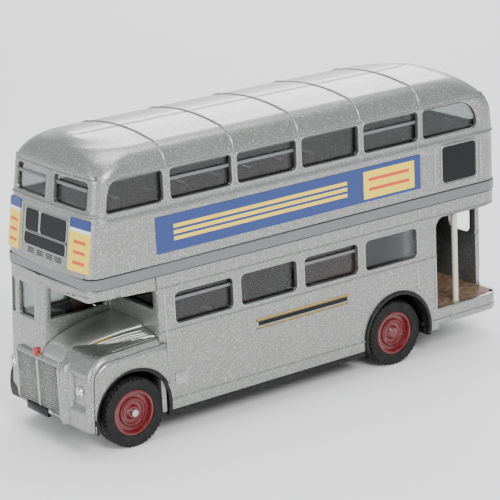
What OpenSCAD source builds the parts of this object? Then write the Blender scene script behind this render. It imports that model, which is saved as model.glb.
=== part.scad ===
// Open-platform double decker bus, die-cast scale model, about 1:64.
// +X is forward, +Y is the nearside (platform side), +Z is up, wheels stand on z = 0.
// Every part of the model is a named sub-part; two wheelsets turn freely.

/* [Which sub-part] */
// Sub-part to draw, or all

/* [Overall sizes] */
// Length over the front foot and the rear panel
body_len = 124; // [100:0.5:160]
// Width over the body sides
body_w = 36; // [31:0.5:44]
// Height of the roof crown above the ground
total_h = 69.6; // [62:0.2:80]
// Distance between the axles
wheel_base = 77.4; // [64:0.2:96]
// Front axle behind the front foot
front_overhang = 12.2; // [11.4:0.1:16]

/* [Levels] */
// Lower edge of the body skirt
skirt_z = 6.4; // [5:0.1:8]
// Top of the brown saloon and platform floor
floor_z = 11.6; // [10.6:0.1:13]
// Top of the lower casting
lower_top_z = 38.6; // [36:0.1:42]
// Height of the band between the castings
band_h = 2.5; // [1.8:0.1:4]
// Depth of the upper side windows
upper_win_h = 7.3; // [5:0.1:9]
// Depth of the lower side windows
lower_win_h = 7.4; // [5:0.1:9]

/* [Body shape] */
// Wall thickness of both castings
wall = 1.2; // [0.9:0.05:1.6]
// Pitch of the side windows
bay = 18.5; // [15:0.1:24]
// Width of one upper pillar
upper_pillar = 1.5; // [1:0.1:3]
// Width of one lower pillar
lower_pillar = 2.3; // [1.5:0.1:4]
// Radius of the roof shoulders
shoulder_r = 5.6; // [4:0.1:9]
// Radius of the roof crown seen from the front
crown_r = 66; // [45:1:120]
// Radius of the rear dome seen from the side
rear_dome_r = 15.5; // [9:0.5:20]
// Radius of the front dome seen from the side
front_dome_r = 6.5; // [4:0.5:10]
// How far the upper front leans back
front_lean = 3.4; // [1:0.1:5]
// Radius of the upright body corners
corner_r = 2.6; // [1.6:0.1:4]
// Depth of the plastic band behind the casting faces
band_step = 0.3; // [0.1:0.05:0.8]

/* [Wheels] */
// Outer diameter of the tyres
tyre_d = 16.2; // [14:0.1:18]
// Diameter of the wheel under the tyre
rim_d = 11; // [9:0.1:12]
// Width of a front tyre
front_tyre_w = 4.6; // [3.5:0.1:6]
// Width of a rear tyre
rear_tyre_w = 5.8; // [4:0.1:7]
// Axle rod diameter
axle_d = 1.6; // [1.2:0.1:2.4]
// Radial running clearance of the axle in the chassis
axle_gap = 0.05; // [0.02:0.01:0.1]
// Radius of the wheel arches
arch_r = 10.6; // [9.8:0.1:11.5]

/* [Clearances] */
// Gap between the glazing and the casting wall
glass_gap = 0.05; // [0:0.01:0.1]
// Fitting gap of the chassis inside the skirt
chassis_gap = 0.1; // [0.05:0.05:0.3]

/* [Hidden] */
$fn = 64;
e = 0.01;
hl = body_len / 2;
hw = body_w / 2;
wheel_z = tyre_d / 2;
front_x = hl - front_overhang;
rear_x = front_x - wheel_base;
band_top = lower_top_z + band_h;
front_top_x = hl - 2;                       // front face at the band
front_roof_x = front_top_x - front_lean;    // front face at the roof edge
roof_edge = hw - shoulder_r;
crown_drop = crown_r - sqrt(crown_r * crown_r - roof_edge * roof_edge);
upper_head = total_h - crown_drop - shoulder_r - 0.22;   // below the roof shoulder
upper_sill = upper_head - upper_win_h;
lower_head = lower_top_z - 4.8;
lower_sill = lower_head - lower_win_h;
u2_front = front_top_x - 23;                // front edge of the second upper window
l1_front = u2_front + 0.5;                  // front edge of the first lower window
bulk_x = front_top_x - 17.5;                // saloon front bulkhead
door_x = l1_front - 4 * bay - 3.9;          // front edge of the platform opening
cab_y = -2;                                 // nearside wall of the cab
rear_open_y = hw - 8.4;                     // rear panel ends here
wing_y = 8.2;                               // inner edge of the nearside wing
riser_z = 7.5;
inner_w = hw - wall;
arch_z = wheel_z + 0.4;
pole_x = door_x - 7.7;
pole_y = inner_w - 0.85;
cavity_h = total_h - wall - 0.2;

module box(x0, x1, y0, y1, z0, z1) {
    translate([x0, y0, z0]) cube([x1 - x0, y1 - y0, z1 - z0]);
}

// Upright rectangle in plan with rounded corners
module plan_rect(x0, x1, y0, y1, r) {
    translate([x0 + r, y0]) square([x1 - x0 - 2 * r, y1 - y0]);
    translate([x0, y0 + r]) square([x1 - x0, y1 - y0 - 2 * r]);
    for (x = [x0 + r, x1 - r], y = [y0 + r, y1 - r]) translate([x, y]) circle(r);
}

// Draws an XZ outline as a slab between two Y planes
module along_y(y0, y1) {
    translate([0, y1, 0]) rotate([90, 0, 0]) linear_extrude(y1 - y0) children();
}

// Draws a YZ outline as a slab between two X planes
module along_x(x0, x1) {
    translate([x0, 0, 0]) rotate([90, 0, 90]) linear_extrude(x1 - x0) children();
}

// Window opening with rounded corners cut along Y
module side_hole(x0, x1, z0, z1, r, y0, y1) {
    along_y(y0, y1) plan_rect(x0, x1, z0, z1, r);
}

// Outline of both bodies in plan, inset by d
module body_plan(d, xr, xf) {
    intersection() {
        plan_rect(xr + d, xf - d, -hw + d, hw - d, max(corner_r - d, 0.6));
        translate([xf - d - 190, 0]) circle(190);
    }
}

// Side outline of the upper body, inset by d, reaching down to z0
module upper_side(d, z0) {
    rr = rear_dome_r - d;
    fr = front_dome_r - d;
    top = total_h - d;
    intersection() {
        union() {
            translate([-hl + d + rr, z0]) square([2 * hl - 2 * d - rr, top - z0]);
            translate([-hl + d, z0]) square([2 * rr, top - rr - z0]);
            translate([-hl + d + rr, top - rr]) circle(rr);
        }
        union() {
            polygon([[-hl - 1, z0 - 1], [front_top_x - d + 0.1, z0 - 1], [front_top_x - d + 0.1, band_top],
                [front_roof_x - d, top - fr], [-hl - 1, top - fr]]);
            translate([-hl - 1, top - fr - e]) square([front_roof_x - d - fr + hl + 1, fr + 1]);
            intersection() {
                translate([front_roof_x - d - fr, top - fr]) circle(fr);
                translate([front_roof_x - d - fr - 1, top - fr - e]) square([fr + 2, fr + 1]);
            }
        }
    }
}

// Cross section of the upper body, inset by d
module upper_section(d, z0) {
    w = hw - d;
    r = shoulder_r - d;
    top = total_h - d;
    edge = w - r;
    drop = crown_r - sqrt(crown_r * crown_r - edge * edge);
    intersection() {
        union() {
            translate([-w, z0]) square([2 * w, top - drop - r - z0]);
            translate([-edge, z0]) square([2 * edge, top + 1 - z0]);
            for (s = [-1, 1]) translate([s * edge, top - drop - r]) circle(r);
        }
        translate([0, top - crown_r]) circle(crown_r, $fn = 128);
    }
}

module upper_solid(d, z0) {
    intersection() {
        along_y(-hw, hw) upper_side(d, z0);
        along_x(-hl, hl) upper_section(d, z0);
        translate([0, 0, z0]) linear_extrude(total_h - z0) body_plan(d, -hl, front_top_x);
    }
}

module upper_windows() {
    for (s = [-1, 1]) {
        y0 = s > 0 ? inner_w - 3 : -hw - 1;
        y1 = s > 0 ? hw + 1 : -inner_w + 3;
        for (k = [0 : 3]) {
            x1 = u2_front - k * bay;
            side_hole(x1 - bay + upper_pillar, x1, upper_sill, upper_head, 1.2, y0, y1);
        }
        // front quarter window with its swept corner
        along_y(y0, y1) intersection() {
            plan_rect(u2_front + 1.8, front_top_x - 4.6, upper_sill, upper_head, 1.2);
            union() {
                translate([u2_front, upper_sill - 1]) square([front_top_x - 9.6 - u2_front, 12]);
                translate([u2_front, upper_sill - 1]) square([25, upper_win_h - 4]);
                translate([front_top_x - 9.6, upper_head - 5]) circle(5);
            }
        }
        // rear quarter window with its arched head
        xr = u2_front - 4 * bay;
        along_y(y0, y1) intersection() {
            plan_rect(xr - 17.6, xr, upper_sill - 0.4, upper_head, 1.2);
            union() {
                translate([xr - 11, upper_sill - 2]) square([11, 14]);
                translate([xr - 17.6, upper_sill - 2]) square([17.6, 2.8]);
                translate([xr - 11, upper_sill + 0.7]) circle(6.6);
            }
        }
    }
    // pair of front windows
    front_win = hw - corner_r - 2.4;
    for (y = [-1.2 - front_win, 1.2]) along_x(front_roof_x - 8, front_top_x + 2)
        plan_rect(y, y + front_win, upper_sill, upper_head, 1.2);
    // wide rear window
    along_x(-hl - 2, -hl + 16) plan_rect(-10.5, 10.5, upper_sill - 0.4, upper_head - 0.6, 2.4);
}

module upper_body() {
    color([0.72, 0.73, 0.72]) difference() {
        upper_solid(0, band_top);
        upper_solid(wall, band_top - 1);
        upper_windows();
    }
}

// Side outline of the lower body with its sloping front
module lower_side(d) {
    polygon([[-hl + d, skirt_z - e], [hl - d + 0.1, skirt_z - e], [hl - d + 0.1, 9], [front_top_x - d, lower_top_z + e],
        [-hl + d, lower_top_z + e]]);
}

module lower_block(d, z0, z1) {
    intersection() {
        along_y(-hw, hw) lower_side(d);
        translate([0, 0, z0]) linear_extrude(z1 - z0) body_plan(d, -hl, hl);
    }
}

bonnet_front_z = 19.4;
bonnet_rear_z = 29.6;
wing_top_z = 23;
bonnet_y = 6.8;                                // nearside edge at the grille
bonnet_rear_y = 12.4;                          // and at the bulkhead

// Side outline of the bonnet, its top curving down to the grille
module bonnet_side(d) {
    r = 60;
    intersection() {
        translate([bulk_x - wall, skirt_z]) square([hl - d - bulk_x + wall, bonnet_rear_z - skirt_z - d]);
        translate([bulk_x + 1, bonnet_rear_z - r - d]) scale([0.575, 1]) circle(r);
        lower_side(d);
    }
}

// Bonnet in plan, widening towards the bulkhead
module bonnet_plan(d) {
    translate([0, 0, skirt_z - 1]) linear_extrude(bonnet_rear_z) polygon([[bulk_x - wall - 1, cab_y - 1],
        [hl + 1, cab_y - 1], [hl + 1, bonnet_y - d], [hl - 1, bonnet_y - d], [bulk_x, bonnet_rear_y - d], [bulk_x - wall - 1, bonnet_rear_y - d]]);
}

module wing_side(d) {
    intersection() {
        translate([bulk_x - wall, skirt_z]) square([hl - d - bulk_x + wall, wing_top_z - skirt_z - d]);
        union() {
            translate([bulk_x - 2, skirt_z]) square([hl - 6.5 - bulk_x + 2, 30]);
            translate([bulk_x - 2, skirt_z]) square([hl - bulk_x + 2, 12]);
            translate([hl - d - 6.5, wing_top_z - 5.8]) circle(5.8 - d);
        }
        lower_side(d);
    }
}

module lower_windows() {
    for (s = [-1, 1]) {
        y0 = s > 0 ? inner_w - 3 : -hw - 1;
        y1 = s > 0 ? hw + 1 : -inner_w + 3;
        for (k = [0 : 3]) {
            x1 = l1_front - k * bay;
            side_hole(x1 - bay + lower_pillar, x1, lower_sill, lower_head, 1.2, y0, y1);
        }
    }
}

module arch_holes(r, y_in) {
    for (x = [front_x + 0.6, rear_x], s = [-1, 1])
        translate([x, s > 0 ? y_in : -hw - 2, arch_z]) rotate([-90, 0, 0])
            cylinder(r = r, h = hw + 2 - y_in);
}

module lower_body() {
    color([0.72, 0.73, 0.72]) difference() {
        union() {
            // saloon, open above and below
            difference() {
                intersection() {
                    lower_block(0, skirt_z, lower_top_z);
                    box(-hl - 1, bulk_x, -hw - 1, hw + 1, skirt_z - 1, lower_top_z + 1);
                }
                intersection() {
                    lower_block(wall, skirt_z - 1, lower_top_z + 1);
                    box(-hl - 1, bulk_x - wall, -hw - 1, hw + 1, skirt_z - 2, lower_top_z + 2);
                }
                // bulkhead window behind the bonnet, and the cab's rear window
                along_x(bulk_x - wall - 1, bulk_x + 1) plan_rect(0.2, hw - 2.4, bonnet_rear_z + 0.6, lower_head + 0.8, 1);
                along_x(bulk_x - wall - 1, bulk_x + 1) plan_rect(-hw + 3, cab_y - 2.6, lower_sill + 1, lower_head + 0.8, 1);
            }
            // cab box on the offside
            difference() {
                intersection() {
                    lower_block(0, skirt_z, lower_top_z);
                    box(bulk_x - e, hl + 1, -hw - 1, cab_y, skirt_z - 1, lower_top_z + 1);
                }
                intersection() {
                    lower_block(wall, skirt_z - 1, lower_top_z + 1);
                    box(bulk_x - 1, hl + 1, -hw - 1, cab_y - wall, skirt_z - 2, lower_top_z + 2);
                }
                // windscreen panes
                along_x(front_top_x - 6, hl + 2) plan_rect(-hw + 1.3, -hw + 3.9, 27.2, 35.1, 0.8);
                along_x(front_top_x - 6, hl + 2) plan_rect(-hw + 5.6, cab_y - 3.4, 27.2, 35.1, 1.2);
                // cab side windows
                side_hole(bulk_x + 2.2, front_top_x - 2.6, 26.4, 35.1, 1.2, -hw - 1, -hw + 3);
                side_hole(bulk_x + 1.2, front_top_x - 1.6, bonnet_rear_z + 0.4, 35.3, 1, cab_y - 3, cab_y + 1);
            }
            // canopy rail over the bonnet
            difference() {
                intersection() {
                    lower_block(0, 35.4, lower_top_z);
                    box(bulk_x - e, hl + 1, cab_y - e, hw + 1, 35, lower_top_z + 1);
                }
                intersection() {
                    lower_block(wall, 36.4, lower_top_z + 1);
                    box(bulk_x - 1, hl + 1, cab_y - wall, hw + 1, 36.4, lower_top_z + 2);
                }
            }
            // bonnet shell
            difference() {
                intersection() {
                    along_y(cab_y - e, bonnet_rear_y + 1) bonnet_side(0);
                    bonnet_plan(0);
                }
                intersection() {
                    along_y(cab_y - 0.1, bonnet_rear_y + 1) bonnet_side(wall);
                    bonnet_plan(wall);
                }
                box(bulk_x - 9, hl - wall, cab_y + 0.1, bonnet_y - wall, skirt_z - 1, skirt_z + 2);
            }
            // nearside wing
            intersection() {
                difference() {
                    along_y(bonnet_y - wall - e, hw) wing_side(0);
                    intersection() {
                        along_y(bonnet_y - 0.1, hw - wall) wing_side(wall);
                        box(0, hl - 2.4, 0, hw, 0, 60);
                    }
                    box(bulk_x - 9, hl - wall, bonnet_y, hw - wall, skirt_z - 1, skirt_z + 2);
                    // lamp recess in the wing front
                    along_x(hl - 1.5, hl + 2) plan_rect(wing_y + 1.2, hw - 2.4, arch_z + 3.4, 18, 0.8);
                }
                lower_block(0, skirt_z, lower_top_z);
            }
        }
        lower_windows();
        arch_holes(arch_r, inner_w - 8);
        // open platform: side, rear corner and inside of its step
        box(-hl + 0.9, door_x, inner_w - 3, hw + 1, floor_z, lower_top_z - 3.6);
        box(-hl - 1, -hl + corner_r + 2.4, rear_open_y, hw + 1, floor_z, lower_top_z - 3.6);
        box(-hl - 1, door_x, rear_open_y - 12, hw + 1, skirt_z - 1, riser_z);
        // rear platform window
        along_x(-hl - 1, -hl + 3) plan_rect(-0.4, rear_open_y - 2.2, lower_sill - 1.4, lower_head, 1.4);
        // room for the floor and chassis under the cab and bonnet
        box(bulk_x - wall - 1, hl - 1.4, -inner_w, inner_w, skirt_z - 1, floor_z + 0.02);
        // foot of the offside front corner cut away
        along_x(hl - 6, hl + 1) polygon([[-hw - 1, skirt_z - 1], [-hw + 5.6, skirt_z - 1], [-hw + 3.4, skirt_z + 0.6], [-hw - 1, skirt_z + 5]]);
    }
}

module deck_band() {
    z0 = lower_top_z;
    color([0.62, 0.64, 0.66]) {
        difference() {
            translate([0, 0, z0]) linear_extrude(band_h) body_plan(band_step, -hl, front_top_x + 0.1);
            translate([0, 0, z0 - 1]) linear_extrude(band_h) body_plan(2, -hl, front_top_x - 1);
            // stairwell
            translate([0, 0, z0 - 1]) linear_extrude(band_h + 2)
                plan_rect(-hl + 4, -hl + 19, -hw + 3, -3.4, 2);
        }
        // locating ribs inside the upper casting
        for (s = [-1, 1]) box(-30, 40, s > 0 ? inner_w - 1.1 : -inner_w + 0.1, s > 0 ? inner_w - 0.1 : -inner_w + 1.1, band_top - e, band_top + 1.2);
    }
}

// Quarter drum round the stairs with treads inside it
module stair_casing() {
    cx = -hl + 12.4;
    cy = -hw + wall + 8.4;
    r = 8.2;
    top = lower_top_z + band_h - 1;
    color([0.62, 0.64, 0.66]) {
        difference() {
            translate([cx, cy, floor_z]) cylinder(r = r, h = top - floor_z);
            translate([cx, cy, floor_z - 1]) cylinder(r = r - 1, h = top - floor_z + 2);
            box(cx - r - 1, cx + 5.4, cy - r - 1, cy - 2, floor_z - 1, top + 1);
            box(cx - r - 1, cx - 2, cy - r - 1, cy + r + 1, floor_z + 6, top + 1);
        }
        // treads winding up inside the drum
        for (k = [0 : 6]) intersection() {
            translate([cx, cy, floor_z + 2.2 + 3.4 * k]) cylinder(r = r - 0.9, h = 0.8);
            translate([cx, cy, floor_z]) rotate([0, 0, 120 - 36 * k]) translate([0, 0, 0]) cube([r, r, 40]);
        }
        translate([cx, cy, floor_z]) cylinder(r = 1, h = top - floor_z);
    }
}

module upper_glazing() {
    d = wall + glass_gap;
    color([0.8, 0.85, 0.88, 0.35]) difference() {
        intersection() {
            upper_solid(d, band_top);
            box(-hl, hl, -hw, hw, upper_sill - 1.6, upper_head + 1.2);
        }
        upper_solid(d + 0.7, band_top);
    }
}

module lower_glazing() {
    t = 0.7;
    y1 = inner_w - glass_gap;
    color([0.8, 0.85, 0.88, 0.35]) {
        for (s = [-1, 1]) box(door_x + 3, bulk_x - wall - 0.4, s > 0 ? y1 - t : -y1, s > 0 ? y1 : -y1 + t, lower_sill - 1.4, lower_head + 1.4);
        box(bulk_x - wall - 0.4 - t, bulk_x - wall - 0.4 + 0.38, -y1, y1, lower_sill - 1.4, lower_head + 1.4);
    }
}

module cab_glazing() {
    t = 0.7;
    color([0.8, 0.85, 0.88, 0.35]) intersection() {
        difference() {
            lower_block(wall + glass_gap, 25.2, 36.4);
            lower_block(wall + glass_gap + t, 25, 37);
            box(-hl, bulk_x + 0.2, -hw, hw, 20, 40);
        }
        box(bulk_x + 0.2, hl, -hw, cab_y - wall - 0.1, 25.2, 36.4);
    }
    color([0.8, 0.85, 0.88, 0.35])
        box(bulk_x + 0.2, front_top_x - wall - 1.4, cab_y - wall - glass_gap - t, cab_y - wall - glass_gap, 25.2, 36.4);
}

// One double bench: cushion and rounded back
module bench(w, h) {
    box(0, 5.2, 0, w, 0, 2.6);
    translate([0, 0, 0]) along_x(0, 1.3) {
        translate([0, 0]) square([w, h - 1.5]);
        translate([1.5, 0]) square([w - 3, h]);
        for (y = [1.5, w - 1.5]) translate([y, h - 1.5]) circle(1.5);
    }
}

module upper_benches() {
    z = band_top + 0.9;
    bw = 11;
    color([0.68, 0.1, 0.1]) {
        difference() {
            box(-hl + 4, front_top_x - 5.6, -inner_w + 1.4, inner_w - 1.4, band_top, z + e);
            box(-hl + 3, -hl + 20, -hw, -2.4, band_top - 1, z + 1);
        }
        for (k = [0 : 9]) for (s = [-1, 1])
            if (!(s < 0 && k > 7)) translate([front_top_x - 14.5 - 9.6 * k, s > 0 ? inner_w - 1.8 - bw : -inner_w + 1.8, z]) bench(bw, 9.2);
    }
}

module lower_benches() {
    z = floor_z;
    bw = 10.4;
    color([0.68, 0.1, 0.1]) {
        for (k = [0 : 4]) for (s = [-1, 1])
            translate([bulk_x - wall - 9.8 - 9.8 * k, s > 0 ? inner_w - 1 - bw : -inner_w + 1, z]) bench(bw, 12.8);
        // long benches over the rear wheels
        for (s = [-1, 1]) {
            y0 = s > 0 ? inner_w - 8.9 : -inner_w + 1;
            box(door_x + 1.2, rear_x + 11.8, y0, y0 + 7.9, arch_z + arch_r + 1, arch_z + arch_r + 2.6);
            y2 = s > 0 ? inner_w - 2.2 : -inner_w + 1;
            box(door_x + 1.2, rear_x + 11.8, y2, y2 + 1.2, arch_z + arch_r + 1, arch_z + arch_r + 5.4);
            y3 = s > 0 ? inner_w - 8.9 : -inner_w + 8;
            box(door_x + 1.2, rear_x + 11.8, y3, y3 + 0.9, z, arch_z + arch_r + 1.1);
        }
    }
}

module driver_bench() {
    seat_z = arch_z + arch_r + 0.4;
    color([0.68, 0.1, 0.1]) translate([bulk_x + 2, -hw + 4.4, seat_z]) {
        box(0, 5.4, 0, 7, 0, 1.8);
        box(0, 5.4, hw - 13, 7, floor_z - seat_z, 0.1);
        translate([0, 0, 1.6]) along_x(0, 1.3) {
            square([7, 6]);
            translate([1.2, 0]) square([4.6, 7.2]);
            for (y = [1.2, 5.8]) translate([y, 6]) circle(1.2);
        }
    }
}

module steering_wheel() {
    color([0.85, 0.85, 0.82]) translate([front_top_x - 5.2, -hw + 10.6, 27.4]) rotate([0, -12, 0]) {
        rotate_extrude() translate([2.9, 0]) circle(0.4, $fn = 24);
        box(-2.8, 2.8, -0.35, 0.35, -0.3, 0.3);
        cylinder(r = 0.9, h = 0.8, center = true);
        translate([0, 0, -15.4]) cylinder(r = 0.6, h = 15.4);
    }
    // foot of the column on the cab floor
    color([0.85, 0.85, 0.82]) translate([front_top_x - 2.1, -hw + 10.6, floor_z]) cylinder(r = 1.2, h = 2.2);
}

module saloon_floor() {
    t = 1;
    color([0.45, 0.32, 0.22]) difference() {
        union() {
            intersection() {
                translate([0, 0, floor_z - t]) linear_extrude(t) body_plan(wall + 0.05, -hl, hl);
                box(-hl, bulk_x - wall - 0.05, -hw, hw, floor_z - t - 1, floor_z + 1);
            }
            box(bulk_x - wall - 1, hl - 2.4, -inner_w + 0.05, cab_y - wall - 0.05, floor_z - t, floor_z);
        }
        for (x = [front_x + 0.6, rear_x], s = [-1, 1]) box(x - arch_r - 1.1, x + arch_r + 1.1, s > 0 ? hw - 9.2 : -hw - 1, s > 0 ? hw + 1 : -hw + 9.2, 0, 30);
    }
}

module platform_pole() {
    color([0.86, 0.8, 0.68]) translate([pole_x, pole_y, floor_z]) {
        cylinder(d = 1.5, h = lower_top_z - floor_z);
        cylinder(d = 1.68, h = 0.4);
    }
}

// Curved black liner of one wheel arch, its rim showing outside the casting
module arch_liner(x, s) {
    ro = arch_r - chassis_gap;
    intersection() {
        translate([x, 0, arch_z]) rotate([s > 0 ? -90 : 90, 0, 0]) difference() {
            cylinder(r = ro, h = hw + 0.3);
            translate([0, 0, -1]) cylinder(r = ro - 0.8, h = hw + 3);
            translate([0, 0, -1]) cylinder(r = ro + 1, h = hw - 9 + 1);
        }
        box(-hl, hl, -hw - 1, hw + 1, skirt_z - 0.6, 40);
    }
    // inner wall of the arch
    intersection() {
        translate([x, s > 0 ? hw - 9 : -hw + 8.2, arch_z]) rotate([-90, 0, 0]) cylinder(r = ro, h = 0.8);
        box(-hl, hl, -hw, hw, skirt_z - 0.6, 40);
    }
}

module chassis() {
    z0 = skirt_z - 1.6;
    wi = inner_w - chassis_gap;
    color([0.09, 0.09, 0.1]) difference() {
        union() {
            // base plate
            box(rear_x - 6, front_x + 9, -hw + 9, hw - 9, z0 + 1, z0 + 2.2);
            box(-hl + 3, rear_x - 2, -hw + 9, hw - 9, riser_z, riser_z + 0.9);
            box(rear_x + arch_r - 0.5, front_x - arch_r + 1, -wi, wi, z0 + 1, z0 + 2.2);
            box(-hl + 3, rear_x - arch_r + 1.4, -wi + 0.4, wi - 0.4, riser_z, riser_z + 0.9);
            box(rear_x - 6, rear_x - 2, -hw + 9, hw - 9, z0 + 1, riser_z + 0.9);
            // side strips under the skirt
            for (s = [-1, 1]) box(rear_x + arch_r - 0.5, front_x - arch_r + 1, s > 0 ? hw - 2 : -hw + 0.8, s > 0 ? hw - 0.8 : -hw + 2, z0, z0 + 1.6 - 0.02);
            // bearing blocks
            for (x = [front_x, rear_x]) box(x - 3, x + 3, -hw + 9, hw - 9, z0, wheel_z + 2);
            // posts up to the floor
            for (x = [rear_x + 22, front_x - 22]) translate([x, 0, z0 + 1]) cylinder(d = 5, h = floor_z - 1 - z0 - 1);
            translate([-hl + 8, 0, riser_z]) cylinder(d = 5, h = floor_z - 1 - riser_z);
            // gearbox and tank shapes
            box(rear_x + 18, rear_x + 34, -6, 6, z0, z0 + 1.2);
            box(front_x - 34, front_x - 20, 4, 12, z0 + 0.2, z0 + 1.2);
            // front foot under the grille
            box(front_x + 8, hl - 1.5, -9, hw - 9.6, z0 + 1.2, z0 + 2.6);
            for (x = [front_x + 0.6, rear_x], s = [-1, 1]) arch_liner(x, s);
            // webs joining the liners to the plate
            for (x = [front_x + 0.6, rear_x]) for (s = [-1, 1]) for (dx = [-arch_r + 0.2, arch_r - 1.4])
                if (!(x > 0 && dx > 0 && s < 0)) box(x + dx, x + dx + 1.1, s > 0 ? hw - 9 : -hw + 1.4, s > 0 ? hw - 1.4 : -hw + 9, skirt_z - 0.6, skirt_z + 0.6);
        }
        for (x = [front_x, rear_x]) translate([x, 0, wheel_z]) rotate([90, 0, 0]) cylinder(d = axle_d + 2 * axle_gap, h = body_w, center = true);
        // rivet seats
        for (x = [rear_x + 22, front_x - 22]) translate([x, 0, z0 - 1]) cylinder(d = 2.6, h = 2.6);
    }
}

module base_rivets() {
    z0 = skirt_z - 1.6;
    color([0.7, 0.7, 0.68]) for (x = [rear_x + 22, front_x - 22]) translate([x, 0, z0 + 0.9]) {
        cylinder(d = 2.5, h = 0.7);
    }
}

module axle(x, w) {
    color([0.75, 0.75, 0.75]) translate([x, 0, wheel_z]) rotate([90, 0, 0]) cylinder(d = axle_d, h = w, center = true);
}

// Wheel with stepped rings; outer face towards +Z before turning
module wheel(w, shut) {
    r = rim_d / 2;
    difference() {
        rotate_extrude() difference() {
            polygon([[0, 0], [r, 0], [r, w - 0.4], [r - 0.4, w], [r - 1.1, w], [r - 1.5, w - 1.2],
                [r - 2.7, w - 1.5], [r - 2.9, w - 1], [r - 3.3, w - 1], [1.6, w - 0.9], [1.5, w - (shut ? 0.2 : 0.5)], [0, w - (shut ? 0.1 : 0.5)]]);
            translate([r - 1.9, -1]) square([1.2, w - 1.6]);
        }
        translate([0, 0, -1]) cylinder(d = axle_d, h = shut ? w + 0.1 : w + 2);
    }
}

module placed(x, s, y_out, w) {
    translate([x, s * (y_out - w), wheel_z]) rotate([s > 0 ? -90 : 90, 0, 0]) children();
}

module tyre(w) {
    r = tyre_d / 2;
    ri = rim_d / 2;
    rotate_extrude($fn = 96) difference() {
        plan_rect(ri, r, 0, w, 0.7);
        translate([ri, w - 0.3]) square([1, 1]);
        translate([r - 0.25, w / 2 - 0.15]) square([1, 0.3]);
    }
}

front_out = hw - 0.3;
rear_out = hw - 1.3;

module front_axle() axle(front_x, 2 * front_out + 0.1);
module rear_axle() axle(rear_x, 2 * rear_out - 2.6);
module front_wheel_left() color([0.6, 0.07, 0.08]) placed(front_x, 1, front_out - 0.3, front_tyre_w - 0.6) wheel(front_tyre_w - 0.6, false);
module front_wheel_right() color([0.6, 0.07, 0.08]) placed(front_x, -1, front_out - 0.3, front_tyre_w - 0.6) wheel(front_tyre_w - 0.6, false);
module rear_wheel_left() color([0.6, 0.07, 0.08]) placed(rear_x, 1, rear_out - 0.4, rear_tyre_w - 0.8) wheel(rear_tyre_w - 0.8, true);
module rear_wheel_right() color([0.6, 0.07, 0.08]) placed(rear_x, -1, rear_out - 0.4, rear_tyre_w - 0.8) wheel(rear_tyre_w - 0.8, true);
module front_tyre_left() color([0.06, 0.06, 0.06]) placed(front_x, 1, front_out, front_tyre_w) tyre(front_tyre_w);
module front_tyre_right() color([0.06, 0.06, 0.06]) placed(front_x, -1, front_out, front_tyre_w) tyre(front_tyre_w);
module rear_tyre_left() color([0.06, 0.06, 0.06]) placed(rear_x, 1, rear_out, rear_tyre_w) tyre(rear_tyre_w);
module rear_tyre_right() color([0.06, 0.06, 0.06]) placed(rear_x, -1, rear_out, rear_tyre_w) tyre(rear_tyre_w);

upper_body();
lower_body();
deck_band();
stair_casing();
upper_glazing();
lower_glazing();
cab_glazing();
upper_benches();
lower_benches();
driver_bench();
steering_wheel();
saloon_floor();
platform_pole();
chassis();
base_rivets();
front_axle();
front_wheel_left();
front_wheel_right();
front_tyre_left();
front_tyre_right();
rear_axle();
rear_wheel_left();
rear_wheel_right();
rear_tyre_left();
rear_tyre_right();
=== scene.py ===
# Die-cast double decker bus model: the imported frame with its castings, trim and paint.
import bmesh
import bpy
import numpy as np
from mathutils import Matrix, Vector


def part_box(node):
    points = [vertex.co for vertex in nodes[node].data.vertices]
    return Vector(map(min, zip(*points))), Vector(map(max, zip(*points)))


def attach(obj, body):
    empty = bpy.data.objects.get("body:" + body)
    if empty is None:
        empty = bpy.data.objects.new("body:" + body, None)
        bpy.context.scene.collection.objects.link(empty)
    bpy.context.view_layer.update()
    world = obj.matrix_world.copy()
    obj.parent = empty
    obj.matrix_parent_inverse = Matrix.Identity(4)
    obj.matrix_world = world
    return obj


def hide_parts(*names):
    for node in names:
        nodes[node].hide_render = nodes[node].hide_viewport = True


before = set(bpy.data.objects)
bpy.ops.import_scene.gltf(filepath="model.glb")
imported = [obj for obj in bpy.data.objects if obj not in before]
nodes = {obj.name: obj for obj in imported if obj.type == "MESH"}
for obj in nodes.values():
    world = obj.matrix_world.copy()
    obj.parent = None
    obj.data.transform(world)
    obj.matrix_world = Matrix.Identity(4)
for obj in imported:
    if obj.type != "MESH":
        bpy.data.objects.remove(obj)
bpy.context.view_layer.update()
scale = 1000.0                                   # everything below is worked out in millimetres


def corners(node):
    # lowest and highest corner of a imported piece, in millimetres
    lo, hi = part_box(node)
    return np.array(lo) * scale, np.array(hi) * scale


upLo, upHi = corners("upper_body")
lowLo, lowHi = corners("lower_body")
frontAxle = (corners("front_axle")[0] + corners("front_axle")[1]) / 2
rearAxle = (corners("rear_axle")[0] + corners("rear_axle")[1]) / 2
halfW, rearX, noseX = upHi[1], upLo[0], lowHi[0]


def add(tree, kind, values=None, **settings):
    node = tree.nodes.new(kind)
    for key, value in settings.items():
        setattr(node, key, value)
    for key, value in (values or {}).items():
        node.inputs[key].default_value = value
    return node


def makeGroup(name, ins, outs):
    group = bpy.data.node_groups.new(name, "ShaderNodeTree")
    for label, kind, value in ins:
        socket = group.interface.new_socket(label, in_out="INPUT", socket_type=kind)
        if value is not None:
            socket.default_value = value
    for label, kind in outs:
        group.interface.new_socket(label, in_out="OUTPUT", socket_type=kind)
    return group, group.nodes.new("NodeGroupInput"), group.nodes.new("NodeGroupOutput")


colourKind, floatKind, vectorKind = "NodeSocketColor", "NodeSocketFloat", "NodeSocketVector"


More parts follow.
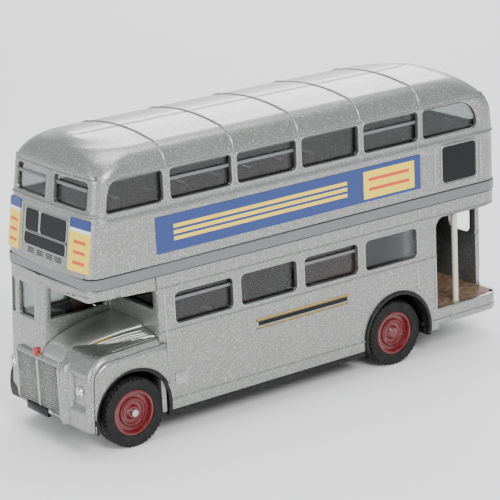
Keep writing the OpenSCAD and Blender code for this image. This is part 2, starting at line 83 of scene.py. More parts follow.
def metalFlakeGroup():
    # paint colour with bright and dark flakes, one random value for each cell of a fine cell pattern
    g, a, b = makeGroup("metalFlake",
        [("Place", vectorKind, None), ("Colour", colourKind, (0.5, 0.5, 0.5, 1)), ("Flake Scale", floatKind,
        4200.0), ("Sparkle", floatKind, 0.6)],
        [("Colour", colourKind), ("Roughness", floatKind), ("Height", floatKind)])
    cells = add(g, "ShaderNodeTexVoronoi", feature="F1")
    split = add(g, "ShaderNodeSeparateColor")
    glint = add(g, "ShaderNodeMapRange", {"From Min": 0.86, "From Max": 0.97})
    dim = add(g, "ShaderNodeMapRange", {"From Min": 0.0, "From Max": 0.35, "To Min": 1.0, "To Max": 0.0})
    gain = add(g, "ShaderNodeMath", operation="MULTIPLY")
    dimGain = add(g, "ShaderNodeMath", operation="MULTIPLY")
    half = add(g, "ShaderNodeMath", {1: 0.45}, operation="MULTIPLY")
    light = add(g, "ShaderNodeMixRGB", {"Color2": (0.95, 0.96, 0.96, 1)})
    dark = add(g, "ShaderNodeMixRGB", {"Color2": (0.2, 0.21, 0.21, 1)})
    mist = add(g, "ShaderNodeTexNoise", {"Scale": 900.0, "Detail": 3.0})
    rough = add(g, "ShaderNodeMapRange", {"To Min": 0.3, "To Max": 0.44})
    g.links.new(a.outputs["Place"], cells.inputs["Vector"])
    g.links.new(a.outputs["Flake Scale"], cells.inputs["Scale"])
    g.links.new(cells.outputs["Color"], split.inputs["Color"])
    g.links.new(split.outputs["Red"], glint.inputs["Value"])
    g.links.new(split.outputs["Green"], dim.inputs["Value"])
    g.links.new(glint.outputs["Result"], gain.inputs[0])
    g.links.new(a.outputs["Sparkle"], gain.inputs[1])
    g.links.new(dim.outputs["Result"], dimGain.inputs[0])
    g.links.new(a.outputs["Sparkle"], half.inputs[0])
    g.links.new(half.outputs[0], dimGain.inputs[1])
    g.links.new(a.outputs["Colour"], dark.inputs["Color1"])
    g.links.new(dimGain.outputs[0], dark.inputs["Fac"])
    g.links.new(dark.outputs["Color"], light.inputs["Color1"])
    g.links.new(gain.outputs[0], light.inputs["Fac"])
    g.links.new(a.outputs["Place"], mist.inputs["Vector"])
    g.links.new(mist.outputs["Fac"], rough.inputs["Value"])
    g.links.new(light.outputs["Color"], b.inputs["Colour"])
    g.links.new(rough.outputs["Result"], b.inputs["Roughness"])
    g.links.new(split.outputs["Blue"], b.inputs["Height"])
    return g


def fineGrainGroup():
    # moulded or sprayed surface: two noises give a colour shift, a roughness and a height
    g, a, b = makeGroup("fineGrain",
        [("Place", vectorKind, None), ("Colour", colourKind, (0.5, 0.5, 0.5, 1)), ("Grain Scale", floatKind,
        2500.0), ("Shift", floatKind, 0.15),
         ("Rough Low", floatKind, 0.4), ("Rough High", floatKind, 0.55)],
        [("Colour", colourKind), ("Roughness", floatKind), ("Height", floatKind)])
    fine = add(g, "ShaderNodeTexNoise", {"Detail": 4.0})
    broad = add(g, "ShaderNodeTexNoise", {"Scale": 120.0, "Detail": 5.0})
    darker = add(g, "ShaderNodeMixRGB", {"Color2": (0.02, 0.02, 0.02, 1)})
    gain = add(g, "ShaderNodeMath", operation="MULTIPLY")
    rough = add(g, "ShaderNodeMapRange")
    for source, target in (("Place", fine.inputs["Vector"]), ("Grain Scale", fine.inputs["Scale"]),
            ("Place", broad.inputs["Vector"]),
                           ("Colour", darker.inputs["Color1"]), ("Shift", gain.inputs[1]),
                           ("Rough Low", rough.inputs["To Min"]), ("Rough High", rough.inputs["To Max"])):
        g.links.new(a.outputs[source], target)
    g.links.new(broad.outputs["Fac"], gain.inputs[0])
    g.links.new(gain.outputs[0], darker.inputs["Fac"])
    g.links.new(fine.outputs["Fac"], rough.inputs["Value"])
    g.links.new(darker.outputs["Color"], b.inputs["Colour"])
    g.links.new(rough.outputs["Result"], b.inputs["Roughness"])
    g.links.new(fine.outputs["Fac"], b.inputs["Height"])
    return g


def dustGroup():
    # handling dust: pale specks, thicker where the surface looks up
    g, a, b = makeGroup("shelfDust",
        [("Place", vectorKind, None), ("Colour", colourKind, (0.5, 0.5, 0.5, 1)), ("Dust Colour", colourKind,
        (0.55, 0.53, 0.5, 1)), ("Amount", floatKind, 0.1)],
        [("Colour", colourKind), ("Mask", floatKind)])
    geo = add(g, "ShaderNodeNewGeometry")
    split = add(g, "ShaderNodeSeparateXYZ")
    up = add(g, "ShaderNodeMapRange", {"From Min": -0.2, "From Max": 1.0, "To Min": 0.25, "To Max": 1.0})
    specks = add(g, "ShaderNodeTexNoise", {"Scale": 700.0, "Detail": 6.0})
    band = add(g, "ShaderNodeMapRange", {"From Min": 0.42, "From Max": 0.72})
    m1 = add(g, "ShaderNodeMath", operation="MULTIPLY")
    m2 = add(g, "ShaderNodeMath", operation="MULTIPLY", use_clamp=True)
    mix = add(g, "ShaderNodeMixRGB")
    g.links.new(geo.outputs["Normal"], split.inputs[0])
    g.links.new(split.outputs["Z"], up.inputs["Value"])
    g.links.new(a.outputs["Place"], specks.inputs["Vector"])
    g.links.new(specks.outputs["Fac"], band.inputs["Value"])
    g.links.new(up.outputs["Result"], m1.inputs[0])
    g.links.new(band.outputs["Result"], m1.inputs[1])
    g.links.new(m1.outputs[0], m2.inputs[0])
    g.links.new(a.outputs["Amount"], m2.inputs[1])
    g.links.new(m2.outputs[0], mix.inputs["Fac"])
    g.links.new(a.outputs["Colour"], mix.inputs["Color1"])
    g.links.new(a.outputs["Dust Colour"], mix.inputs["Color2"])
    g.links.new(mix.outputs["Color"], b.inputs["Colour"])
    g.links.new(m2.outputs[0], b.inputs["Mask"])
    return g


def boxMaskGroup():
    # 1 inside a box in object millimetres, 0 outside, with a soft edge: one ramp over the least of the six
    # distances to its faces
    g, a, b = makeGroup("boxMask", [("Place", vectorKind, None), ("Low", vectorKind, (0, 0, 0)),
        ("High", vectorKind, (1, 1, 1))], [("Mask", floatKind)])
    mm = add(g, "ShaderNodeVectorMath", operation="SCALE")
    mm.inputs["Scale"].default_value = scale
    lowGap = add(g, "ShaderNodeVectorMath", operation="SUBTRACT")
    highGap = add(g, "ShaderNodeVectorMath", operation="SUBTRACT")
    least = add(g, "ShaderNodeVectorMath", operation="MINIMUM")
    split = add(g, "ShaderNodeSeparateXYZ")
    m1 = add(g, "ShaderNodeMath", operation="MINIMUM")
    m2 = add(g, "ShaderNodeMath", operation="MINIMUM")
    edge = add(g, "ShaderNodeMapRange", {"From Min": -0.03, "From Max": 0.03})
    g.links.new(a.outputs["Place"], mm.inputs[0])
    g.links.new(mm.outputs[0], lowGap.inputs[0])
    g.links.new(a.outputs["Low"], lowGap.inputs[1])
    g.links.new(a.outputs["High"], highGap.inputs[0])
    g.links.new(mm.outputs[0], highGap.inputs[1])
    g.links.new(lowGap.outputs[0], least.inputs[0])
    g.links.new(highGap.outputs[0], least.inputs[1])
    g.links.new(least.outputs[0], split.inputs[0])
    g.links.new(split.outputs["X"], m1.inputs[0])
    g.links.new(split.outputs["Y"], m1.inputs[1])
    g.links.new(m1.outputs[0], m2.inputs[0])
    g.links.new(split.outputs["Z"], m2.inputs[1])
    g.links.new(m2.outputs[0], edge.inputs["Value"])
    g.links.new(edge.outputs["Result"], b.inputs["Mask"])
    return g


flakeGroup, grainGroup, dustLayer, maskGroup = metalFlakeGroup(), fineGrainGroup(), dustGroup(), boxMaskGroup()


def startMaterial(name, **values):
    mat = bpy.data.materials.new(name)
    mat.use_nodes = True
    tree = mat.node_tree
    shader = tree.nodes["Principled BSDF"]
    for key, value in values.items():
        shader.inputs[key.replace("_", " ")].default_value = value
    place = add(tree, "ShaderNodeTexCoord").outputs["Object"]
    return mat, tree, shader, place


def placeGroup(tree, group, place, **values):
    node = add(tree, "ShaderNodeGroup", node_tree=group)
    for key, value in values.items():
        node.inputs[key.replace("_", " ")].default_value = value
    tree.links.new(place, node.inputs["Place"])
    return node


def addBump(tree, shader, height, distance, strength=1.0):
    bump = add(tree, "ShaderNodeBump", {"Distance": distance, "Strength": strength})
    tree.links.new(height, bump.inputs["Height"])
    tree.links.new(bump.outputs["Normal"], shader.inputs["Normal"])


def flakeMaterial(name, colour, sparkle, metallic, coat, dust, flakeScale=4200.0):
    mat, tree, shader, place = startMaterial(name, Metallic=metallic, Coat_Weight=coat, Coat_Roughness=0.12)
    flakes = placeGroup(tree, flakeGroup, place, Colour=colour, Flake_Scale=flakeScale, Sparkle=sparkle)
    dusty = placeGroup(tree, dustLayer, place, Amount=dust)
    tree.links.new(flakes.outputs["Colour"], dusty.inputs["Colour"])
    tree.links.new(dusty.outputs["Colour"], shader.inputs["Base Color"])
    tree.links.new(flakes.outputs["Roughness"], shader.inputs["Roughness"])
    addBump(tree, shader, flakes.outputs["Height"], 0.00001, 0.5)
    return mat


def grainMaterial(name, colour, roughLow, roughHigh, metallic=0.0, grainScale=2500.0, shift=0.15,
        bump=0.00003, dust=0.05, **values):
    mat, tree, shader, place = startMaterial(name, Metallic=metallic, **values)
    grain = placeGroup(tree, grainGroup, place, Colour=colour, Grain_Scale=grainScale, Shift=shift,
        Rough_Low=roughLow, Rough_High=roughHigh)
    dusty = placeGroup(tree, dustLayer, place, Amount=dust)
    tree.links.new(grain.outputs["Colour"], dusty.inputs["Colour"])
    tree.links.new(dusty.outputs["Colour"], shader.inputs["Base Color"])
    tree.links.new(grain.outputs["Roughness"], shader.inputs["Roughness"])
    addBump(tree, shader, grain.outputs["Height"], bump, 0.6)
    return mat


def printedMaterial(name, ground, patches):
    # a printed board: the ground colour, then one colour for each box in millimetres
    mat, tree, shader, place = startMaterial(name, Coat_Weight=0.35, Coat_Roughness=0.2)
    grain = placeGroup(tree, grainGroup, place, Colour=ground, Grain_Scale=3500.0, Shift=0.06, Rough_Low=0.32,
        Rough_High=0.45)
    last = grain.outputs["Colour"]
    for colour, low, high in patches:
        mask = placeGroup(tree, maskGroup, place, Low=low, High=high)
        mix = add(tree, "ShaderNodeMixRGB", {"Color2": colour})
        tree.links.new(mask.outputs["Mask"], mix.inputs["Fac"])
        tree.links.new(last, mix.inputs["Color1"])
        last = mix.outputs["Color"]
    tree.links.new(last, shader.inputs["Base Color"])
    tree.links.new(grain.outputs["Roughness"], shader.inputs["Roughness"])
    addBump(tree, shader, grain.outputs["Height"], 0.000004, 0.4)
    return mat


def glassMaterial(name, tint, rough):
    # clear moulded styrene with faint flow marks
    mat, tree, shader, place = startMaterial(name, Metallic=0.0, Transmission_Weight=1.0, IOR=1.45)
    grain = placeGroup(tree, grainGroup, place, Colour=tint, Grain_Scale=300.0, Shift=0.04, Rough_Low=rough,
        Rough_High=rough + 0.05)
    tree.links.new(grain.outputs["Colour"], shader.inputs["Base Color"])
    tree.links.new(grain.outputs["Roughness"], shader.inputs["Roughness"])
    addBump(tree, shader, grain.outputs["Height"], 0.00002, 0.3)
    return mat


silver, blueInk, yellowInk, orangeInk, creamInk = (0.25, 0.258, 0.244, 1), (0.001, 0.026, 0.17, 1), (0.84,
    0.6, 0.02, 1), (0.62, 0.045, 0.006, 1), (0.72, 0.74, 0.72, 1)
silverPaint = flakeMaterial("silverPaint", silver, 0.5, 0.82, 0.45, 0.03, 6500.0)
# a lighter copy of the silver paint for the bonnet, beads, rims and frames of the same casting: painted
# highlight
highlightSilverPaint = flakeMaterial("highlightSilverPaint", (0.36, 0.37, 0.355, 1), 0.35, 0.85, 0.5, 0.02, 6500.0)
bandPaint = grainMaterial("bandPaint", (0.15, 0.155, 0.16, 1), 0.3, 0.42, metallic=0.25, Coat_Weight=0.3)
stairPaint = grainMaterial("stairPaint", (0.25, 0.28, 0.3, 1), 0.25, 0.38, metallic=0.1, Coat_Weight=0.3,
    bump=0.00008, grainScale=500.0)
# the grey tint darkens the saloons seen through the windows: painted shade
shadeTintedGlazing = glassMaterial("shadeTintedGlazing", (0.5, 0.52, 0.52, 1), 0.03)
redPlastic = grainMaterial("redPlastic", (0.16, 0.006, 0.01, 1), 0.4, 0.55, grainScale=1800.0)
ivoryPlastic = grainMaterial("ivoryPlastic", (0.55, 0.53, 0.46, 1), 0.35, 0.5)
brownFloor = grainMaterial("brownFloor", (0.17, 0.085, 0.035, 1), 0.5, 0.75, grainScale=900.0, shift=0.35,
    bump=0.0001, dust=0.25)
polePaint = grainMaterial("polePaint", (0.58, 0.52, 0.42, 1), 0.28, 0.4, Coat_Weight=0.3)
blackBase = grainMaterial("blackBase", (0.006, 0.006, 0.0065, 1), 0.38, 0.55, Specular_IOR_Level=0.25,
    grainScale=1500.0, bump=0.00006, dust=0.08)
blackGloss = grainMaterial("blackGloss", (0.004, 0.004, 0.005, 1), 0.3, 0.42, dust=0.0,
    Specular_IOR_Level=0.22)
rubber = grainMaterial("rubber", (0.007, 0.007, 0.007, 1), 0.55, 0.75, Specular_IOR_Level=0.25,
    grainScale=1400.0, bump=0.00008, dust=0.04)
wheelRed = grainMaterial("wheelRed", (0.13, 0.005, 0.008, 1), 0.2, 0.32, Coat_Weight=0.5, Coat_Roughness=0.08,
    dust=0.03)
steel = grainMaterial("steel", (0.55, 0.55, 0.54, 1), 0.25, 0.4, metallic=1.0, grainScale=3000.0)
chrome = grainMaterial("chrome", (0.72, 0.72, 0.72, 1), 0.12, 0.22, metallic=1.0, dust=0.02)
goldInk = grainMaterial("goldInk", (0.42, 0.27, 0.07, 1), 0.3, 0.45, metallic=0.5, dust=0.02)
redInk = grainMaterial("redInk", (0.32, 0.008, 0.008, 1), 0.25, 0.4, Coat_Weight=0.3, dust=0.02)
# near black backing for the grille: painted shade in the gaps between the silver bars
grilleShadeBacking = grainMaterial("grilleShadeBacking", (0.06, 0.061, 0.058, 1), 0.4, 0.55, 0.5)
print("paints and plastics ready")


def makePiece(name, points, faces, material, body="bodywork", stands=(), smoothAngle=40.0, merge=True):
    # points in millimetres (n, 3), faces as index rows; doubles are merged and the piece rides on its body
    mesh = bpy.data.meshes.new(name)
    rows = faces if isinstance(faces, list) else faces.tolist()
    mesh.from_pydata((np.asarray(points, float) / scale).tolist(), [], rows)
    piece = bpy.data.objects.new(name, mesh)
    bpy.context.scene.collection.objects.link(piece)
    if merge:
        bm = bmesh.new()
        bm.from_mesh(mesh)
        bmesh.ops.remove_doubles(bm, verts=bm.verts, dist=2e-6)
        bmesh.ops.dissolve_degenerate(bm, edges=bm.edges, dist=1e-6)
        bm.to_mesh(mesh)
        bm.free()
    mesh.materials.append(material)
    mesh.polygons.foreach_set("use_smooth", [True] * len(mesh.polygons))
    mesh.set_sharp_from_angle(angle=np.radians(smoothAngle))
    mesh.validate()
    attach(piece, body)
    if stands:
        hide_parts(*stands)
    return piece


def gridFaces(nu, nv, closeU=False, closeV=False):
    # quads of a grid of nu by nv points, index = u * nv + v
    u = np.arange(nu if closeU else nu - 1)
    v = np.arange(nv if closeV else nv - 1)
    uu, vv = np.meshgrid(u, v, indexing="ij")
    u1, v1 = (uu + 1) % nu, (vv + 1) % nv
    return np.stack([uu * nv + vv, u1 * nv + vv, u1 * nv + v1, uu * nv + v1], -1)


def joinParts(parts):
    # several (points, faces) pairs as one
    points, faces, start = [], [], 0
    for p, f in parts:
        points.append(np.asarray(p, float).reshape(-1, 3))
        faces += [[i + start for i in row] for row in (f if isinstance(f, list) else np.asarray(f).reshape(-1,
            4).tolist())]
        start += len(points[-1])
    return np.concatenate(points), faces


def fillLines(keys, gap):
    # sorted key values with even steps no longer than gap between them
    keys = np.unique(np.round(keys, 5))
    keys = keys[np.concatenate([[True], np.diff(keys) > 0.02])]
    steps = [np.linspace(a, b, max(1, int(np.ceil((b - a) / gap))) + 1)[:-1] for a,
        b in zip(keys[:-1], keys[1:])]
    return np.concatenate(steps + [keys[-1:]])


def cornerLines(low, high, radii):
    # the lines that a rounded opening needs: its edges and quarter steps along each corner radius
    q = np.array([0, 0.25, 0.5, 0.75, 1.0])
    return np.concatenate([low + q * r for r in radii] + [high - q * r for r in radii])


def nearest(values, target):
    return int(np.argmin(np.abs(values - target)))


def openHole(sGrid, zGrid, alive, hole, s, z):
    # cuts one opening: its cells go, and rim points within r of a corner move onto a circle of radius r
    # there,
    # a point at distance d from the corner to the angle 45 degrees * (1 - d / r)
    i0, i1 = nearest(s, hole["s"][0]), nearest(s, hole["s"][1])
    j0, j1 = nearest(z, hole["z"][0]), nearest(z, hole["z"][1])
    alive[i0:i1, j0:j1] = False
    for (i, sgnS), (j, sgnZ), r in (((i0, 1), (j0, 1), hole["r"][0]), ((i1, -1), (j0, 1), hole["r"][1]),
            ((i1, -1), (j1, -1), hole["r"][2]), ((i0, 1), (j1, -1), hole["r"][3])):
        if r <= 0:
            continue
        run = np.arange(i0, i1 + 1)
        d = np.abs(s[run] - s[i])
        run, d = run[d < r - 1e-6], d[d < r - 1e-6]
        a = np.pi / 4 * (1 - d / r)
        newS, newZ = s[i] + sgnS * r * (1 - np.sin(a)), z[j] + sgnZ * r * (1 - np.cos(a))
        rise = np.arange(j0, j1 + 1)
        e = np.abs(z[rise] - z[j])
        rise, e = rise[e < r - 1e-6], e[e < r - 1e-6]
        b = np.pi / 4 * (1 - e / r)
        sGrid[run, j], zGrid[run, j] = newS, newZ
        sGrid[i, rise], zGrid[i, rise] = s[i] + sgnS * r * (1 - np.cos(b)), z[j] + sgnZ * r * (1 - np.sin(b))


def roundedOutline(cu, cv, r, a):
    # a rounded rectangle: a quarter circle of radius r round each corner centre (cu, cv)
    u = np.concatenate([cu + r * np.cos(a), -cu - r * np.sin(a), -cu - r * np.cos(a), cu + r * np.sin(a)])
    v = np.concatenate([cv + r * np.sin(a), cv + r * np.cos(a), -cv - r * np.sin(a), -cv - r * np.cos(a)])
    return u, v


def slab(centre, right, up, width, height, depth, radius, edge=0.1, steps=6, sink=0.2):
    # a plate with rounded corners: its outline is carried out along the normal and in over a rounded edge
    right, up = np.array(right, float), np.array(up, float)
    right, up = right / np.linalg.norm(right), up / np.linalg.norm(up)
    normal = np.cross(right, up)
    a = np.linspace(0, np.pi / 2, steps + 1)
    rows = []
    for out, inset in ((-sink, 0.0), (depth - edge, 0.0), (depth - 0.3 * edge, 0.3 * edge), (depth, edge)):
        r = max(radius - inset, 0.02)
        cu, cv = width / 2 - inset - r, height / 2 - inset - r
        u, v = roundedOutline(cu, cv, r, a)
        rows.append(np.array(centre) + np.outer(u, right) + np.outer(v, up) + out * normal)
    points = np.concatenate(rows)
    n = len(rows[0])
    faces = [[k * n + i, k * n + (i + 1) % n, (k + 1) * n + (i + 1) % n, (k + 1) * n + i] for k in range(3)
        for i in range(n)]
    faces += [list(range(3 * n, 4 * n)), list(range(n - 1, -1, -1))]
    return points, faces


def ribbon(path, normals, width, height, across=7, closed=False, sink=0.12):
    # a raised bead: half an ellipse carried along a path, w * cos(a) across and h * sin(a) out, its ends
    # drawn in
    path, normals = np.asarray(path, float), np.asarray(normals, float)
    n = len(path)
    tangent = (np.roll(path, -1, 0) - np.roll(path, 1, 0)) if closed else np.gradient(path, axis=0)
    tangent /= np.linalg.norm(tangent, axis=1, keepdims=True)
    normals = normals / np.linalg.norm(normals, axis=1, keepdims=True)
    side = np.cross(tangent, normals)
    a = np.linspace(0, np.pi, across)
    t = np.linspace(-1, 1, n)
    taper = np.ones(n) if closed else np.clip(1 - np.abs(t) ** 40, 0, 1) ** 0.5
    taper = np.maximum(taper, 0.25)
    top = path[:, None] + side[:, None] * (0.5 * width * taper[:, None] * np.cos(a))[..., None] + normals[:,
        None] * (height * taper[:, None] * np.sin(a))[..., None]
    low = path[:, None] + side[:, None] * (0.5 * width * taper[:, None] * np.array([-1, 1.0]))[...,
        None] - sink * normals[:, None]
    ring = np.concatenate([top, low], 1)
    m = across + 2
    faces = gridFaces(n, m, closeU=closed, closeV=True).reshape(-1, 4)[:, ::-1].tolist()
    if not closed:
        faces += [list(range(m)), list(range(n * m - 1, (n - 1) * m - 1, -1))]
    return ring.reshape(-1, 3), faces


def line(a, b, steps=12):
    # evenly spaced points from a to b
    t = np.linspace(0, 1, steps)[:, None]
    return np.array(a, float) * (1 - t) + np.array(b, float) * t


def frameRing(centre, right, up, width, height, radius, bead, rise):
    # a raised bead round a rounded rectangle
    right, up = np.array(right, float), np.array(up, float)
    right, up = right / np.linalg.norm(right), up / np.linalg.norm(up)
    a = np.linspace(0, np.pi / 2, 7)
    cu, cv = width / 2 - radius, height / 2 - radius
    u, v = roundedOutline(cu, cv, radius, a)
    path = np.array(centre) + np.outer(u, right) + np.outer(v, up)
    return ribbon(path, np.tile(np.cross(right, up), (len(path), 1)), bead, rise, closed=True)


def turned(profile, centre, axis, steps=72, wave=None):
    # a profile of (radius, height) turned about an axis through centre; wave(angle, row) may lower the radius
    profile = np.asarray(profile, float)
    axis = np.array(axis, float)
    one = np.cross(axis, [0, 0, 1.0] if abs(axis[2]) < 0.9 else [1.0, 0, 0])
    one /= np.linalg.norm(one)
    two = np.cross(axis, one)
    angle = np.linspace(0, 2 * np.pi, steps, endpoint=False)
    radius = np.tile(profile[:, 0], (steps, 1))
    if wave is not None:
        radius = radius - wave(angle[:, None], np.arange(len(profile))[None, :])
    spoke = np.cos(angle)[:, None] * one + np.sin(angle)[:, None] * two
    points = np.array(centre) + spoke[:, None] * radius[..., None] + axis * profile[None, :, 1, None]
    return points.reshape(-1, 3), gridFaces(steps, len(profile), closeU=True).reshape(-1, 4)


def finishEdges(piece, thickness=0.0, bevel=0.0, angle=50.0, segments=2):
    # wall thickness inwards, then softened edges
    if thickness:
        wall = piece.modifiers.new("wall", "SOLIDIFY")
        wall.thickness, wall.offset, wall.use_even_offset, wall.use_quality_normals = thickness / scale, -1.0, False, True
    if bevel:
        soft = piece.modifiers.new("softEdges", "BEVEL")
        soft.width, soft.segments, soft.limit_method, soft.angle_limit = bevel / scale, segments, "ANGLE", np.radians(angle)
        soft.use_clamp_overlap, soft.harden_normals = False, False

upper = {
    "wall": 1.2, "corner": 2.6, "rearCorner": 5.0, "shoulder": 5.6, "crown": 66.0, "lean": 3.4,
    "frontDome": 6.5, "rearDome": 15.5,
    "sill": 55.3, "head": 62.6, "sideWindows": [(37.0, 20.0), (18.5, 1.5), (0.0, -17.0), (-18.5, -35.5)],
    "frontQuarter": (38.8, 57.0), "rearQuarter": (-54.4, -37.0), "frontPane": (1.5, 14.7), "rearPane": 10.5,
    "waistBead": 53.5, "gutter": 63.05, "ribs": [37.9, 19.2, 0.6, -17.7, -36.3],
}
frontBow = 380.0                                 # the front bows by y * y / frontBow
bandTop, roofTop = upLo[2], upHi[2]
upFrontX = 60.0
edgeY = halfW - upper["shoulder"]
crownZ = roofTop - upper["crown"]
cantZ = crownZ + np.sqrt(upper["crown"] ** 2 - edgeY ** 2) - upper["shoulder"]
domeZ = roofTop - upper["frontDome"]
rearDomeZ = roofTop - upper["rearDome"]


def upperLevel(z):
    # half width, front, rear and corner radii of the plan at height z
    shoulder = edgeY + np.sqrt(np.clip(upper["shoulder"] ** 2 - (z - cantZ) ** 2, 0, None))
    crown = np.sqrt(np.clip(upper["crown"] ** 2 - (z - crownZ) ** 2, 0, None))
    halfY = np.where(z <= cantZ, halfW, np.where(z <= cantZ + upper["shoulder"], shoulder, crown))
    lean = upFrontX - upper["lean"] * np.clip((z - bandTop) / (domeZ - bandTop), 0, 1)
    front = lean - upper["frontDome"] + np.sqrt(np.clip(upper["frontDome"] ** 2 - np.clip(z - domeZ, 0,
        None) ** 2, 0, None))
    rear = rearX + upper["rearDome"] - np.sqrt(np.clip(upper["rearDome"] ** 2 - np.clip(z - rearDomeZ, 0,
        None) ** 2, 0, None))
    grow = np.clip((z - upper["head"]) / 5.8, 0, 1)
    return halfY, front, rear, np.minimum(upper["corner"] + 6.5 * grow,
        halfY), np.minimum(upper["rearCorner"] + 8 * grow, halfY), grow


def upperPlace(x0, y0, z):
    # the plan's rounded rectangle is split into an inner rectangle and a corner circle; each level moves and
    # grows both
    rf, rr = upper["corner"], upper["rearCorner"]
    r = np.where(x0 > 0, rf, rr)
    cx, cy = np.clip(x0, rearX + rr, upFrontX - rf), np.clip(y0, -halfW + r, halfW - r)
    dx, dy = (x0 - cx) / r, (y0 - cy) / r
    halfY, front, rear, rFront, rRear, grow = upperLevel(z)
    startF = 40 - 25 * grow
    wFront = np.clip((cx - startF) / (upFrontX - rf - startF), 0, 1) ** (1.5 - 0.3 * grow)
    startR = -54.8 + 50 * grow
    wRear = np.clip((startR - cx) / (startR - rearX - rr), 0, 1) ** 1.3
    radius = r + (rFront - r) * np.where(x0 > 0, wFront, 0) + (rRear - r) * np.where(x0 > 0, 0, wRear)
    x = cx + (front - rFront - (upFrontX - rf)) * wFront + (rear + rRear - (rearX + rr)) * wRear + radius * dx
    y = cy / (halfW - r) * (halfY - radius) + radius * dy
    x = x - np.clip(wFront, 0, 1) ** 6 * y * y / frontBow
    return np.stack([x, y, z], -1)


def planPath(points):
    # a path in plan from corner points (x, y, radius), with its length at each point
    pts = [np.array(points[0][:2], float)]
    for k in range(1, len(points) - 1):
        a, p, b = (np.array(points[k + d][:2], float) for d in (-1, 0, 1))
        r = points[k][2]
        if r <= 0:
            pts.append(p)
            continue
        u, v = (a - p) / np.linalg.norm(a - p), (b - p) / np.linalg.norm(b - p)
        c = p + r * (u + v)                          # all corners are square
        t = np.linspace(0, np.pi / 2, 9)[:, None]
        pts += list(c - r * v * np.cos(t) - r * u * np.sin(t))
    pts.append(np.array(points[-1][:2], float))
    pts = np.array(pts)
    keep = np.concatenate([[True], np.linalg.norm(np.diff(pts, axis=0), axis=1) > 1e-6])
    pts = pts[keep]
    return pts, np.concatenate([[0], np.cumsum(np.linalg.norm(np.diff(pts, axis=0), axis=1))])


def casting(path, length, holes, rows, place, relief, gap=2.6, clampZ=None, dead=None, keys=()):
    # a wall that follows the path: columns at every opening's lines, rows by height, openings cut, relief
    # pushed out
    sKeys = [length, np.array(keys, float)] + [cornerLines(h["s"][0], h["s"][1],
        [r for r in h["r"] if r > 0] or [0.0]) for h in holes]
    zKeys = [np.array(rows)] + [cornerLines(h["z"][0], h["z"][1], [r for r in h["r"] if r > 0] or [0.0])
        for h in holes]
    zAll = np.concatenate(zKeys)
    s = fillLines(np.concatenate(sKeys), gap)
    z = fillLines(zAll[(zAll >= min(rows) - 1e-6) & (zAll <= max(rows) + 1e-6)], gap)
    sGrid, zGrid = np.meshgrid(s, z, indexing="ij")
    alive = np.ones((len(s) - 1, len(z) - 1), bool)
    xGrid = np.interp(sGrid, length, path[:, 0])
    if dead is not None:
        midX = (xGrid[1:, 1:] + xGrid[:-1, :-1]) / 2
        alive &= ~dead((sGrid[1:, 1:] + sGrid[:-1, :-1]) / 2, midX, (zGrid[1:, 1:] + zGrid[:-1, :-1]) / 2)
    if clampZ is not None:
        zGrid = clampZ(sGrid, xGrid, zGrid)
    for h in holes:
        openHole(sGrid, zGrid, alive, h, s, z)
    xGrid, yGrid = np.interp(sGrid, length, path[:, 0]), np.interp(sGrid, length, path[:, 1])
    tx, ty = np.interp(sGrid + 0.3, length, path[:, 0]) - np.interp(sGrid - 0.3, length,
        path[:, 0]), np.interp(sGrid + 0.3, length, path[:, 1]) - np.interp(sGrid - 0.3, length, path[:, 1])
    n = np.stack([ty, -tx], -1) / (np.hypot(tx, ty)[..., None] + 1e-9)
    surface = place(xGrid, yGrid, zGrid)
    surface[..., :2] += relief(sGrid, zGrid)[..., None] * n
    return surface.reshape(-1, 3), gridFaces(len(s), len(z))[alive].reshape(-1, 4)


def notch(z, centre, half, rise):
    # a rounded groove or bead across the rows: rise * cos^2 within half of centre
    t = np.clip(np.abs(z - centre) / half, 0, 1)
    return rise * np.cos(t * np.pi / 2) ** 2


cr, rr = upper["corner"], upper["rearCorner"]
seamX = 38.0                                     # the path starts between the first two nearside windows
upPath, upLength = planPath([(seamX, halfW, 0), (rearX, halfW, rr), (rearX, -halfW, rr),
    (upFrontX, -halfW, cr), (upFrontX, halfW, cr), (seamX, halfW, 0)])
fullLen = upLength[-1]
upNear = lambda x: (seamX - x) if x <= seamX else fullLen - (x - seamX)
upRear = lambda y: seamX - rearX - rr + rr * np.pi / 2 + (halfW - rr - y)
upOff = lambda x: upRear(-halfW + rr) + rr * np.pi / 2 + (x - rearX - rr)
upFront = lambda y: upOff(upFrontX - cr) + cr * np.pi / 2 + (y + halfW - cr)
sill, head = upper["sill"], upper["head"]
upHoles = []
for a, b in upper["sideWindows"]:
    upHoles += [{"s": (upNear(a), upNear(b)), "z": (sill, head), "r": (1.2,) * 4}, {"s": (upOff(b), upOff(a)),
        "z": (sill, head), "r": (1.2,) * 4}]
a, b = upper["rearQuarter"]
upHoles += [{"s": (upNear(b), upNear(a)), "z": (sill, head), "r": (1.2, 1.2, 6.2, 1.2)},
    {"s": (upOff(a), upOff(b)), "z": (sill, head), "r": (1.2, 1.2, 1.2, 6.2)}]
a, b = upper["frontQuarter"]
upHoles += [{"s": (upOff(a), upOff(b)), "z": (sill, head), "r": (1.2, 1.2, 4.0, 1.2)}]
upHoles += [{"s": (upFront(-upper["frontPane"][1]), upFront(-upper["frontPane"][0])), "z": (56.0, 62.3),
    "r": (1.0,) * 4},
            {"s": (upFront(upper["frontPane"][0]), upFront(upper["frontPane"][1])), "z": (56.0, 62.3),
            "r": (1.0,) * 4},
            {"s": (upRear(upper["rearPane"]), upRear(-upper["rearPane"])), "z": (54.9, 62.0), "r": (2.2,)
            * 4}]
a, b = upper["frontQuarter"]
upHoles.append({"s": (upNear(b), upNear(a)), "z": (sill, head), "r": (1.2, 1.2, 1.2, 4.0)})
sideEnds = (upNear(57.0), upOff(57.0))


